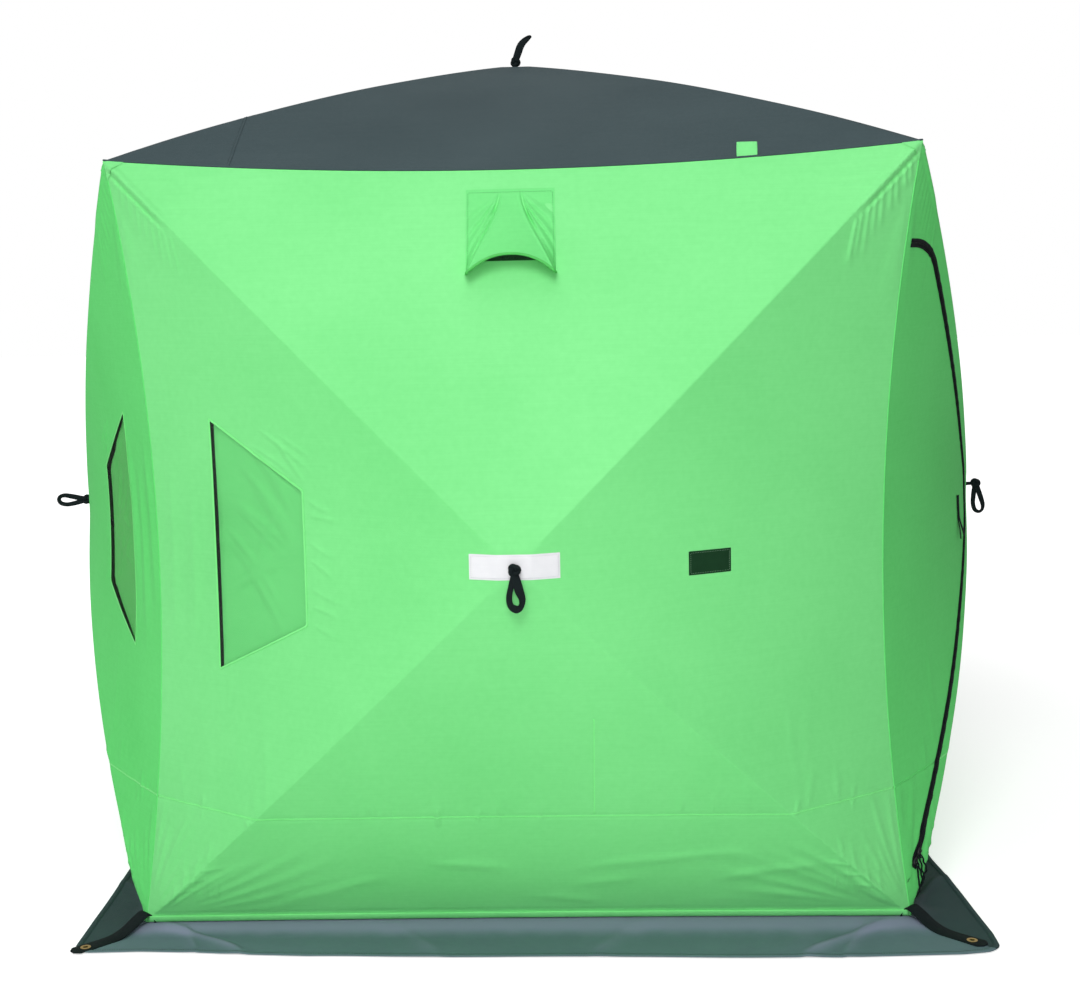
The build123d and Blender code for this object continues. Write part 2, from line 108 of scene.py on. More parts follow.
# how far a skin stands out at places across and up: each facet is solved for its share along and round
def skinDepth(side, u, v):
    skin = skins[side]
    hub = skin["hub"]
    depth = np.full(np.shape(u), hub[2])
    for edge in range(4):
        a, b = skin["corners"][edge] - hub, skin["corners"][(edge + 1) % 4] - hub
        bowA, bowB = skin["bows"][edge], skin["bows"][(edge + 1) % 4]
        draw = skin["draws"][edge]
        padA, padB = a[:2] * form["padHalf"] / abs(a[0]), b[:2] * form["padHalf"] / abs(b[0])
        du, dv = u - hub[0], v - hub[1]
        fromA, fromB = a[1] * du - a[0] * dv, dv * b[0] - du * b[1]
        mine = (fromA >= -1e-9) & (fromB >= -1e-9)
        if not mine.any():
            continue
        du, dv, fromA, fromB = du[mine], dv[mine], fromA[mine], fromB[mine]
        s = fromA / np.maximum(fromA + fromB, 1e-9)
        t = np.hypot(du, dv) / np.hypot((1 - s) * a[0] + s * b[0], (1 - s) * a[1] + s * b[1])
        for step in range(9):
            hump = 4 * s * (1 - s)
            pu, pv = [padA[k] * (1 - s) + padB[k] * s + t * ((a[k] - padA[k]) * (1 - s) + (b[k] - padB[k]) * s
                      + hump * draw[k]) for k in (0, 1)]
            tu, tv = [(a[k] - padA[k]) * (1 - s) + (b[k] - padB[k]) * s + hump * draw[k] for k in (0, 1)]
            su, sv = [padB[k] - padA[k] + t * (b[k] - padB[k] - a[k] + padA[k] + 4 * (1 - 2 * s) * draw[k])
                      for k in (0, 1)]
            turn = tu * sv - tv * su
            turn = np.where(np.abs(turn) < 1e-9, 1e-9, turn)
            t = t + ((du - pu) * sv - (dv - pv) * su) / turn
            s = s + (tu * (dv - pv) - tv * (du - pu)) / turn
        t = np.maximum(t, 0)
        riseA = a[2] * t + 4 * bowA * t * (1 - t)
        riseB = b[2] * t + 4 * bowB * t * (1 - t)
        depth[mine] = hub[2] + riseA * (1 - s) + riseB * s + 4 * s * (1 - s) * t * draw[2]
    return depth


def unit(rows):
    return rows / np.maximum(np.linalg.norm(rows, axis=-1, keepdims=True), 1e-12)


def travelledAlong(path):
    return np.concatenate(((0,), np.cumsum(np.linalg.norm(np.diff(path, axis=0), axis=1))))


# the places on a line at some distances along it
def placesAt(at, travelled, line):
    return np.stack([np.interp(at, travelled, line[:, k]) for k in range(line.shape[1])], 1)


def toWorld(side, u, v, w):
    across, up, out = [np.array(axis, float) for axis in sideAxes[side]]
    return np.outer(u, across) + np.outer(v, up) + np.outer(w, out)


# the outer edge of a skin, from one corner to the next
def edgeLine(side, edge, count=120, first=0.0, last=1.0):
    skin = skins[side]
    a, b = skin["corners"][edge], skin["corners"][(edge + 1) % 4]
    s = np.linspace(first, last, count)[:, None]
    return a * (1 - s) + b * s + 4 * s * (1 - s) * skin["draws"][edge]


# wrinkles: small folds added to the depth of a skin

def smooth(x):
    x = np.clip(x, 0, 1)
    return x * x * (3 - 2 * x)


# a gentle uneven wave along a line
def unevenWave(x, length, seed):
    local = np.random.default_rng(seed)
    total = 0
    for share in (1.0, 0.61, 0.37):
        total = total + share * np.sin(2 * math.pi * x / (length * (0.6 + share)) + local.uniform(0, 6.3))
    return total / 1.98


# one fold: a rounded ridge or groove from start to end, fading out at its ends
def fold(u, v, start, end, width, height, lead=0.3, bend=0.0):
    run = np.subtract(end, start)
    length = math.hypot(*run)
    along = ((u - start[0]) * run[0] + (v - start[1]) * run[1]) / length ** 2
    across = ((v - start[1]) * run[0] - (u - start[0]) * run[1]) / length
    across = across - bend * length * 4 * along * (1 - along)
    taper = smooth(along / lead) * smooth((1 - along) / 0.45)
    return height * taper * np.exp(-(across / (width * (0.55 + 0.6 * np.clip(along, 0, 1)))) ** 2)


wallFolds = {
    "rodEnd": 0.225, "rodEndHeight": 0.0060, "rodEndWidth": 0.0088,
    "groove": 0.0040, "grooveAt": 0.0135, "grooveWidth": 0.0042,    # below the rod's end
    "line": 0.0026, "lineAt": 0.0205, "lineWidth": 0.0034,          # and a fine ridge below the groove
    "undulation": 0.0012, "pucker": 0.0022, "puckerReach": 0.018, "puckerPitch": 0.026,
    "drawnIn": 0.0012, "drawnInWidth": 0.006,                       # the cloth at the band seam
    "hemFold": 0.0016, "hemFoldAt": 0.0250, "hemFoldWidth": 0.0050, "hemFade": 0.035,
    "edgePucker": 0.0009, "edgeReach": 0.022, "edgeFade": 0.016,
}
roofFolds = {"undulation": 0.0015, "edgePucker": 0.0012, "edgeReach": 0.03, "drawnIn": 0.001, "drawnInWidth": 0.006,
             "pucker": 0.0012, "puckerReach": 0.02}

# each kind of fold: how many, width, height or its range, where it is full and how far it bends
foldKinds = {
    "finger": (9, 0.0062, (0.0032, 0.0050), 0.10, 0), "overRod": (6, 0.008, (0.0008, 0.0014), 0.1, 0),
    "fromCorner": (4, 0.010, None, 0.3, 0), "fan": (9, 0.0074, (0.0030, 0.0052), 0.25, 0.02),
    "low": (6, 0.0115, (0.0015, 0.0028), 0.3, -0.03), "rodEnd": (6, 0.0060, 0.0020, 0.1, 0),
    "aboveHem": (5, 0.0062, (0.0018, 0.0030), 0.3, 0), "zipStart": (5, 0.0055, 0.0018, 0.1, 0),
    "windowTop": (6, 0.0060, (0.0020, 0.0036), 0.3, 0.05), "windowSide": (7, 0.0060, (0.0018, 0.0034), 0.2, 0.06),
    "besideWindow": (3, 0.010, 0.0030, 0.3, 0.01), "besideSideWindow": (3, 0.016, 0.0062, 0.3, 0.01),
    "acrossBand": (22, 0.0064, (0.0018, 0.0034), 0.4, 0), "slack": (9, 0.013, (0.0022, 0.0042), 0.4, 0.03),
    "faint": (5, 0.012, (0.0008, 0.0016), 0.3, 0.02),
}
foldSeeds = {"front": 11, "back": 23, "left": 35, "right": 47}


# the folds of a wall, drawn once for each side as (start, end, width, height, lead, bend)
def drawFolds(side):
    local = np.random.default_rng(foldSeeds[side])
    draw = local.uniform
    hub, found = skins[side]["hub"], []

    def add(kind, start, end, share=1.0, height=None, swing=False):
        width, given, lead, bend = foldKinds[kind][1:]
        height = height or (share * draw(*given) if isinstance(given, tuple) else given)
        found.append((start, end, width, height, lead, draw(-bend, bend) if swing else bend))

    def each(kind):
        return range(foldKinds[kind][0])

    for index, corner in enumerate(skins[side]["corners"]):
        corner = corner[:2]
        inward = unit(hub[:2] - corner)
        sideways = 1 if corner[0] > 0 else -1
        strong = (1.0 if sideways > 0 else 0.55) * (1.0 if side in endWalls else 0.5)
        if index < 2:
            for k in each("finger"):        # they hang from the rod end towards the seam
                start = corner + inward * (0.034 + 0.0225 * k + draw(-0.003, 0.003)) + (0, -0.016)
                fall = np.array((sideways * (0.10 - 0.035 * k), -1.0))
                add("finger", start, start + fall * (draw(0.045, 0.075) + 0.009 * k), strong)
            for k in each("overRod"):       # faint and level
                start = corner + inward * (0.07 + 0.04 * k) + (0, 0.01)
                reach = np.array((-sideways, draw(-0.10, -0.02))) * draw(0.14, 0.30)
                add("overRod", start, start + reach, strong)
            for k in each("fromCorner"):    # long and soft, beside the seam
                heading = np.array((-sideways * (0.09 + 0.055 * k), -1.0))
                start = corner + heading * 0.10
                add("fromCorner", start, start + heading * draw(0.16, 0.36), height=0.0026 - 0.0004 * k)
        else:
            for k in each("fan"):           # up from the foot, between the seam and the rod
                angle = math.radians(86 - 6.4 * k + draw(-1.5, 1.5))
                heading = np.array((-sideways * math.cos(angle), math.sin(angle)))
                start = corner + heading * draw(0.03, 0.06)
                add("fan", start, start + heading * draw(0.17, 0.32))
            for k in each("low"):           # along the bottom edge
                angle = math.radians(5 + 6.0 * k + draw(-1, 1))
                heading = np.array((-sideways * math.cos(angle), math.sin(angle)))
                start = corner + heading * draw(0.05, 0.10)
                add("low", start, start + heading * draw(0.30, 0.55))
            for k in each("rodEnd"):
                start = corner + inward * (0.13 + 0.022 * k)
                heading = np.array((-sideways * 0.2, 1.0)) if k % 2 else np.array((-sideways, 0.18))
                add("rodEnd", start, start + heading * draw(0.045, 0.08))
            for k in each("aboveHem"):      # short and upright
                start = corner + (-sideways * (0.075 + 0.026 * k), 0.05 + draw(0, 0.02))
                add("aboveHem", start, start + (-sideways * 0.012, draw(0.07, 0.13)))
    if side == "right":                     # short folds below the zip's start
        for k in each("zipStart"):
            start = (-0.815 + 0.016 * k, 1.515 + 0.004 * k)
            add("zipStart", start, (start[0] + 0.004, start[1] - 0.06 - 0.012 * k))
    towards = -1 if side in endWalls else 1
    for k in each("windowTop"):             # beside the window's slanting top edge
        start = (towards * draw(0.50, 0.62), hub[1] + 0.215 + 0.012 * k + draw(0, 0.02))
        add("windowTop", start, (start[0] - towards * draw(0.06, 0.15), start[1] - draw(0.05, 0.11)), swing=True)
    for k in each("windowSide"):            # and beside its short side
        start = (towards * 0.452, hub[1] + 0.13 - 0.045 * k + draw(-0.015, 0.015))
        add("windowSide", start, (towards * draw(0.36, 0.42), start[1] - draw(0.01, 0.05)), swing=True)
    beside = "besideWindow" if side in endWalls else "besideSideWindow"
    for k in each(beside):                  # long and upright, between the window and the seam
        start = (towards * (0.685 + 0.055 * k), hub[1] + draw(0.16, 0.30))
        add(beside, start, (start[0] + towards * 0.012, hub[1] - draw(0.16, 0.34)))
    for k in each("acrossBand"):            # upright creases that cross the band seam
        place = draw(-0.82, 0.82)
        start = (place, form["bandHeight"] + draw(-0.06, 0.015))
        add("acrossBand", start, (place + draw(-0.02, 0.02), start[1] + draw(0.05, 0.12)))
    for k in each("slack"):                 # in the lower band
        place = draw(-0.6, 0.5)
        start = (place, draw(0.07, 0.27))
        add("slack", start, (place + draw(0.18, 0.38), start[1] + draw(-0.06, 0.06)))
    for k in each("faint"):                 # down the lower half of the big side facets
        place = local.choice((-1, 1)) * draw(0.55, 0.72)
        start = (place, form["bandHeight"] + 0.02)
        add("faint", start, (place + draw(-0.05, 0.05), start[1] + draw(0.18, 0.34)))
    return found


folds = {side: drawFolds(side) for side in walls}
lineSamples = {side: np.vstack([edgeLine(side, edge, 240)[:, :2] for edge in range(4)]) for side in skins}


def distanceTo(points, u, v):
    best = np.full(len(u), 1e9)
    for start in range(0, len(u), 4000):
        part = slice(start, start + 4000)
        gap = (u[part, None] - points[None, :, 0]) ** 2 + (v[part, None] - points[None, :, 1]) ** 2
        best[part] = np.sqrt(gap.min(1))
    return best


def wallDrape(side, u, v):
    size, extra = wallFolds, np.zeros(len(u))
    for shape in folds[side]:
        extra += fold(u, v, *shape)
    hub = skins[side]["hub"]
    for index, corner in enumerate(skins[side]["corners"]):
        inward = unit(hub[:2] - corner[:2])
        length = size["rodEnd"] * (1.0 if index < 2 else 0.8)
        along = (u - corner[0]) * inward[0] + (v - corner[1]) * inward[1]
        below = ((v - corner[1]) * inward[0] - (u - corner[0]) * inward[1]) * np.sign(corner[0])
        tapered = smooth(along / 0.03) * smooth((length - along) / 0.07)
        ridge = size["rodEndHeight"] * (1 if index < 2 else 0.3) * (1 if side in endWalls else 0.35)
        extra += ridge * tapered * np.exp(-(below / size["rodEndWidth"]) ** 4)
        if index < 2 and side in endWalls:
            extra -= size["groove"] * tapered * np.exp(-((below - size["grooveAt"]) / size["grooveWidth"]) ** 2)
            extra += size["line"] * tapered * np.exp(-((below - size["lineAt"]) / size["lineWidth"]) ** 2)
    band = v - form["bandHeight"]
    ripple = unevenWave(u, size["puckerPitch"] * 2, 5) * unevenWave(u, 0.31, 9)
    extra += size["pucker"] * ripple * np.exp(-np.abs(band) / size["puckerReach"])
    extra -= size["drawnIn"] * np.exp(-(band / size["drawnInWidth"]) ** 2)
    extra += size["undulation"] * unevenWave(u + 0.4 * v, 0.42, 3) * unevenWave(v - 0.2 * u, 0.37, 4)
    aboveHem = v - form["footHeight"] - size["hemFoldAt"]
    extra *= smooth(aboveHem / size["hemFade"])
    hemFold = size["hemFold"] * (1 + 0.5 * unevenWave(u, 0.11, 8))
    extra -= hemFold * np.exp(-(aboveHem / size["hemFoldWidth"]) ** 2)
    gap = distanceTo(lineSamples[side], u, v)
    extra += size["edgePucker"] * unevenWave(v + 0.3 * u, 0.045, 21) * np.exp(-gap / size["edgeReach"])
    return extra * smooth(gap / size["edgeFade"])


roofStrip = -0.628     # where the roof's side strip is joined on


def roofDrape(side, u, v):
    size, gap, strip = roofFolds, distanceTo(lineSamples[side], u, v), u - roofStrip
    extra = size["undulation"] * unevenWave(u + 0.2 * v, 0.5, 13) * unevenWave(v, 0.43, 17)
    extra += size["edgePucker"] * unevenWave(u + v, 0.07, 19) * np.exp(-gap / size["edgeReach"])
    extra -= size["drawnIn"] * np.exp(-(strip / size["drawnInWidth"]) ** 2)
    extra += size["pucker"] * unevenWave(v, 0.05, 29) * np.exp(-np.abs(strip) / size["puckerReach"])
    return extra * smooth(gap / wallFolds["edgeFade"])


def clothDepth(side, u, v):
    drape = roofDrape if side == "roof" else wallDrape
    return skinDepth(side, u, v) + drape(side, u, v)


# points on the cloth, with the direction that faces outwards
def onCloth(side, path, lift=0.0):
    path = np.asarray(path, float)
    u, v = path[:, 0], path[:, 1]
    step = 0.0015
    slopeU = (clothDepth(side, u + step, v) - clothDepth(side, u - step, v)) / (2 * step)
    slopeV = (clothDepth(side, u, v + step) - clothDepth(side, u, v - step)) / (2 * step)
    normals = unit(toWorld(side, -slopeU, -slopeV, np.ones(len(u))))
    return toWorld(side, u, v, clothDepth(side, u, v)) + normals * lift, normals


# meshes

def meshPiece(name, points, faces, material, body="shelter", slot=None, shadeSmooth=True):
    mesh = bpy.data.meshes.new(name)
    mesh.from_pydata([tuple(p) for p in points], [], [tuple(int(i) for i in f) for f in faces])
    mesh.polygons.foreach_set("use_smooth", [shadeSmooth] * len(mesh.polygons))
    mesh.materials.append(material)
    piece = bpy.data.objects.new(name, mesh)
    bpy.context.scene.collection.objects.link(piece)
    if body:
        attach(piece, body)
    return piece


def resample(path, spacing, closed=False):
    path = np.asarray(path, float)
    if closed:
        path = np.vstack((path, path[:1]))
    travelled = travelledAlong(path)
    count = max(2, int(round(travelled[-1] / spacing)) + 1)
    out = placesAt(np.linspace(0, travelled[-1], count), travelled, path)
    return out[:-1] if closed else out


def insideOf(polygon, points):
    within = np.zeros(len(points), bool)
    x, y = points[:, 0], points[:, 1]
    for (x0, y0), (x1, y1) in zip(polygon, np.roll(polygon, -1, axis=0)):
        if y0 == y1:
            continue
        crosses = (y0 > y) != (y1 > y)
        within ^= crosses & (x < (x1 - x0) * (y - y0) / (y1 - y0) + x0)
    return within


def evenRows(low, high, spacing):
    grid = []
    for index, y in enumerate(np.arange(low[1], high[1], spacing * math.sqrt(3) / 2)):
        x = np.arange(low[0] + (index % 2) * spacing / 2, high[0], spacing)
        grid.append(np.stack((x, np.full(len(x), y)), 1))
    return np.vstack(grid)


# a net of triangles inside an outline, with holes cut out, points along the creases and a finer net in the busy places
def flatNet(outline, holes=(), creases=(), spacing=0.01, busy=None, fine=0.0045):
    edge = spacing if busy is None else spacing * 0.6
    rings = [resample(outline, edge, True)] + [resample(hole, spacing * 0.8, True) for hole in holes]
    lines = [resample(crease, fine if busy is not None and len(crease) > 2 else spacing) for crease in creases]
    edges, start = [], 0
    for line, joins in [(ring, len(ring)) for ring in rings] + [(line, len(line) - 1) for line in lines]:
        edges += [(start + i, start + (i + 1) % len(line)) for i in range(joins)]
        start += len(line)
    fixed = np.vstack(rings + lines)
    low, high = rings[0].min(0), rings[0].max(0)
    grid = evenRows(low, high, spacing)
    room = np.full(len(grid), spacing * 0.55)
    if busy is not None:
        small = evenRows(low, high, fine)
        near, nearSmall = busy(grid), busy(small)
        grid = np.vstack((grid[~near], small[nearSmall]))
        room = np.concatenate((room[~near], np.full(nearSmall.sum(), fine * 0.55)))

    def within(places):
        kept = insideOf(rings[0], places)
        for hole in rings[1:]:
            kept &= ~insideOf(hole, places)
        return kept

    keep = within(grid)
    grid, room = grid[keep], room[keep]
    grid = grid[distanceTo(fixed, grid[:, 0], grid[:, 1]) > room]
    made = delaunay_2d_cdt([Vector(p) for p in np.vstack((fixed, grid))], edges, [], 0, 1e-7)
    points, faces = np.array([tuple(p) for p in made[0]]), np.array([f for f in made[2] if len(f) == 3])
    faces = faces[within(points[faces].mean(1))]
    used, faces = np.unique(faces, return_inverse=True)
    points, faces = points[used], faces.reshape(-1, 3)
    a, b, c = [points[faces[:, k]] for k in range(3)]
    flipped = (b[:, 0] - a[:, 0]) * (c[:, 1] - a[:, 1]) < (b[:, 1] - a[:, 1]) * (c[:, 0] - a[:, 0])
    faces[flipped] = faces[flipped][:, ::-1]
    return points, faces


# a sheet of cloth sewn over part of a side
def clothSheet(name, side, outline, material, slot, holes=(), creases=(), spacing=0.01, body="shelter", busy=None,
               fine=0.0045):
    net, faces = flatNet(outline, holes, creases, spacing, busy, fine)
    points = toWorld(side, net[:, 0], net[:, 1], clothDepth(side, net[:, 0], net[:, 1]))
    return meshPiece(name, points, faces, material, body, slot)


# directions along a line of points
def headings(points, closed=False):
    if closed:
        run = np.roll(points, -1, axis=0) - np.roll(points, 1, axis=0)
    else:
        run = np.gradient(points, axis=0)
    return unit(run)


# a bar of any section swept along points: section is a list of (across, up) places
def sweepBar(points, ups, section, closed=False):
    run = headings(points, closed)
    ups = unit(ups - run * np.sum(ups * run, axis=1)[:, None])
    across = np.cross(run, ups)
    section = np.asarray(section, float)
    count, sides = len(points), len(section)
    verts = points[:, None] + across[:, None] * section[None, :, :1] + ups[:, None] * section[None, :, 1:]
    verts = verts.reshape(-1, 3)
    faces = []
    for i in range(count if closed else count - 1):
        j = (i + 1) % count
        for k in range(sides):
            m = (k + 1) % sides
            faces.append((i * sides + k, i * sides + m, j * sides + m, j * sides + k))
    if not closed:
        faces.append(tuple(range(sides))[::-1])
        faces.append(tuple((count - 1) * sides + k for k in range(sides)))
    return verts, faces


def roundSection(radius, sides=8, flat=1.0):
    turns = [2 * math.pi * (k + 0.5) / sides for k in range(sides)]
    return [(radius * math.cos(turn), radius * flat * math.sin(turn)) for turn in turns][::-1]


def ribbonSection(width, thickness):
    w, t, c = width / 2, thickness / 2, thickness * 0.35
    return [(-w + c, t), (w - c, t), (w, t - c), (w, -t + c), (w - c, -t), (-w + c, -t), (-w, -t + c), (-w, t - c)]


# many small shapes in one mesh
def joinShapes(shapes):
    verts, faces, base = [], [], 0
    for points, polygons in shapes:
        verts.append(np.asarray(points))
        faces += [tuple(base + i for i in polygon) for polygon in polygons]
        base += len(points)
    return np.vstack(verts), faces


# a row of stitches, each a small spindle lying on the cloth
def stitchRow(points, normals, pitch=0.0055, length=0.0036, width=0.0010):
    travelled = travelledAlong(points)
    at = np.arange(pitch / 2, travelled[-1], pitch)
    centres, ups = placesAt(at, travelled, points), unit(placesAt(at, travelled, normals))
    run = placesAt(at + pitch / 4, travelled, points) - placesAt(at - pitch / 4, travelled, points)
    run = unit(run)
    across = np.cross(run, ups)
    half, thin = length / 2, width / 2
    offsets = [run * half, across * thin, ups * thin, -across * thin, -run * half]
    return spindles(centres, offsets, ((0, 2, 1), (0, 3, 2), (4, 1, 2), (4, 2, 3), (0, 1, 4, 3)))


# one small solid at each centre, with the same corners and faces
def spindles(centres, offsets, pattern):
    verts = np.stack([centres + offset for offset in offsets], 1).reshape(-1, 3)
    count = len(offsets)
    return verts, [tuple(count * i + k for k in face) for i in range(len(centres)) for face in pattern]


# an even net of quads from low to 1 across and 0 to 1 along
def evenNet(columns, ranks, low=-1):
    across, along = np.meshgrid(np.linspace(low, 1, columns), np.linspace(0, 1, ranks))
    faces = [(r * columns + c, (r + 1) * columns + c, (r + 1) * columns + c + 1, r * columns + c + 1)
             for r in range(ranks - 1) for c in range(columns - 1)]
    return across.ravel(), along.ravel(), faces


def joinedPiece(name, shapes, material, slot, body="shelter"):
    return meshPiece(name, *joinShapes(shapes), material, body, slot)


# finishes

def fromPaint(red, green, blue):
    def straighten(level):
        level = level / 255
        return level / 12.92 if level <= 0.04045 else ((level + 0.055) / 1.055) ** 2.4
    return straighten(red), straighten(green), straighten(blue), 1.0


def newGroup(name, inputs, outputs):
    group = bpy.data.node_groups.new(name, "ShaderNodeTree")
    for label, kind, value in inputs:
        socket = group.interface.new_socket(label, in_out="INPUT", socket_type=kind)
        socket.default_value = value
    for label, kind in outputs:
        group.interface.new_socket(label, in_out="OUTPUT", socket_type=kind)
    return group, group.nodes.new("NodeGroupInput"), group.nodes.new("NodeGroupOutput")


def addNode(tree, kind, **settings):
    node = tree.nodes.new(kind)
    for key, value in settings.items():
        if hasattr(node, key):
            setattr(node, key, value)
        else:
            node.inputs[key.replace("_", " ")].default_value = value
    return node


def mathNode(tree, operation, first, second=None, third=None, clamp=False):
    node = tree.nodes.new("ShaderNodeMath")
    node.operation, node.use_clamp = operation, clamp
    for index, value in enumerate((first, second, third)):
        if value is None:
            continue
        if hasattr(value, "links"):
            tree.links.new(value, node.inputs[index])
        else:
            node.inputs[index].default_value = value
    return node.outputs[0]


def mixColours(tree, factor, first, second, blend="MIX"):
    node = tree.nodes.new("ShaderNodeMix")
    node.data_type, node.blend_type = "RGBA", blend
    for socket, value in ((node.inputs[0], factor), (node.inputs[6], first), (node.inputs[7], second)):
        if hasattr(value, "links"):
            tree.links.new(value, socket)
        else:
            socket.default_value = value
    return node.outputs[2]


def floats(**values):
    return [(label, "NodeSocketFloat", value) for label, value in values.items()]


# crossed threads, laid flat on whichever side the cloth faces
def makeWeave():
    tree, into, out = newGroup("threadWeave", floats(Thread=0.001, Slub=0.3),
                               (("Height", "NodeSocketFloat"), ("Streaks", "NodeSocketFloat")))
    place = addNode(tree, "ShaderNodeTexCoord")
    apart = addNode(tree, "ShaderNodeSeparateXYZ")
    tree.links.new(place.outputs["Object"], apart.inputs[0])
    facing = addNode(tree, "ShaderNodeSeparateXYZ")
    tree.links.new(place.outputs["Normal"], facing.inputs[0])
    turns = mathNode(tree, "DIVIDE", 2 * math.pi, into.outputs["Thread"])
    waves = [mathNode(tree, "SINE", mathNode(tree, "MULTIPLY", apart.outputs[axis], turns)) for axis in range(3)]
    total = None
    for axis in range(3):
        first, second = [waves[other] for other in range(3) if other != axis]
        weave = mathNode(tree, "MULTIPLY", first, second)
        share = mathNode(tree, "POWER", mathNode(tree, "ABSOLUTE", facing.outputs[axis]), 2.0)
        part = mathNode(tree, "MULTIPLY", weave, share)
        total = part if total is None else mathNode(tree, "ADD", total, part)
    stretched = addNode(tree, "ShaderNodeMapping")
    stretched.inputs["Scale"].default_value = (8, 8, 420)
    tree.links.new(place.outputs["Object"], stretched.inputs[0])
    slubs = addNode(tree, "ShaderNodeTexNoise", Scale=1.0, Detail=2.0)
    tree.links.new(stretched.outputs[0], slubs.inputs["Vector"])
    height = mathNode(tree, "MULTIPLY_ADD", slubs.outputs["Fac"], into.outputs["Slub"], total)
    tree.links.new(height, out.inputs["Height"])
    tree.links.new(slubs.outputs["Fac"], out.inputs["Streaks"])
    return tree


# uneven dye: broad clouds, a finer mottle and the threads' streaks, from a dark to a light shade
def makeDye():
    shades = [("Dark", "NodeSocketColor", (0, 0, 0, 1)), ("Light", "NodeSocketColor", (1, 1, 1, 1))]
    tree, into, out = newGroup("unevenDye", shades + floats(Cloud=3.0, Mottle=60.0, Streaks=0.5),
                               (("Color", "NodeSocketColor"), ("Mask", "NodeSocketFloat")))
    place = addNode(tree, "ShaderNodeTexCoord")
    shares = []
    for label, detail in (("Cloud", 3.0), ("Mottle", 2.0)):
        noise = addNode(tree, "ShaderNodeTexNoise", Detail=detail)
        tree.links.new(place.outputs["Object"], noise.inputs["Vector"])
        tree.links.new(into.outputs[label], noise.inputs["Scale"])
        shares.append(noise.outputs["Fac"])
    mixed = mathNode(tree, "MULTIPLY_ADD", shares[0], 0.55, mathNode(tree, "MULTIPLY", shares[1], 0.25))
    mask = mathNode(tree, "MULTIPLY_ADD", into.outputs["Streaks"], 0.2, mixed, clamp=True)
    tree.links.new(mixColours(tree, mask, into.outputs["Dark"], into.outputs["Light"]), out.inputs["Color"])
    tree.links.new(mask, out.inputs["Mask"])
    return tree


# scuffs and handling marks on hard parts
def makeScuffs():
    tree, into, out = newGroup("scuffs", floats(Scale=90.0, Low=0.3, High=0.6),
                               (("Roughness", "NodeSocketFloat"), ("Height", "NodeSocketFloat")))
    place = addNode(tree, "ShaderNodeTexCoord")
    noise = addNode(tree, "ShaderNodeTexNoise", Detail=6.0, Roughness=0.65)
    tree.links.new(place.outputs["Object"], noise.inputs["Vector"])
    tree.links.new(into.outputs["Scale"], noise.inputs["Scale"])
    spread = mathNode(tree, "SUBTRACT", into.outputs["High"], into.outputs["Low"])
    rough = mathNode(tree, "MULTIPLY_ADD", noise.outputs["Fac"], spread, into.outputs["Low"])
    tree.links.new(rough, out.inputs["Roughness"])
    tree.links.new(noise.outputs["Fac"], out.inputs["Height"])
    return tree


weave, dye, scuffs = makeWeave(), makeDye(), makeScuffs()


def placeGroup(tree, group, **settings):
    node = tree.nodes.new("ShaderNodeGroup")
    node.node_tree = group
    for label, value in settings.items():
        node.inputs[label].default_value = value
    return node


def newFinish(name):
    material = bpy.data.materials.new(name)
    material.use_nodes = True
    return material, material.node_tree, material.node_tree.nodes["Principled BSDF"]


def addBump(tree, shader, height, strength, distance):
    bump = addNode(tree, "ShaderNodeBump", Strength=strength, Distance=distance)
    tree.links.new(height, bump.inputs["Height"])
    tree.links.new(bump.outputs[0], shader.inputs["Normal"])


def clothFinish(name, dark, light, thread=0.0011, relief=0.12, roughness=0.62, sheen=0.02, cloud=2.5, mottle=70.0,
                slub=0.5, specular=0.12):
    material, tree, shader = newFinish(name)
    threads = placeGroup(tree, weave, Thread=thread, Slub=slub)
    colours = placeGroup(tree, dye, Dark=fromPaint(*dark), Light=fromPaint(*light), Cloud=cloud, Mottle=mottle)
    tree.links.new(threads.outputs["Streaks"], colours.inputs["Streaks"])
    tree.links.new(colours.outputs["Color"], shader.inputs["Base Color"])
    rough = mathNode(tree, "MULTIPLY_ADD", colours.outputs["Mask"], -0.16, roughness + 0.08)
    tree.links.new(rough, shader.inputs["Roughness"])
    addBump(tree, shader, threads.outputs["Height"], relief, 0.0006)
    shader.inputs["Specular IOR Level"].default_value = specular
    shader.inputs["Sheen Weight"].default_value = sheen
    shader.inputs["Sheen Roughness"].default_value = 0.5
    return material


def hardFinish(name, colour, low=0.35, high=0.6, metallic=0.0, scale=90.0, relief=0.15):
    material, tree, shader = newFinish(name)
    colour = fromPaint(*colour)
    marks = placeGroup(tree, scuffs, Scale=scale, Low=low, High=high)
    darker = tuple(level * 0.8 for level in colour[:3]) + (1,)
    tree.links.new(mixColours(tree, marks.outputs["Height"], darker, colour), shader.inputs["Base Color"])
    tree.links.new(marks.outputs["Roughness"], shader.inputs["Roughness"])
    addBump(tree, shader, marks.outputs["Height"], relief, 0.0004)
    shader.inputs["Metallic"].default_value = metallic
    return material


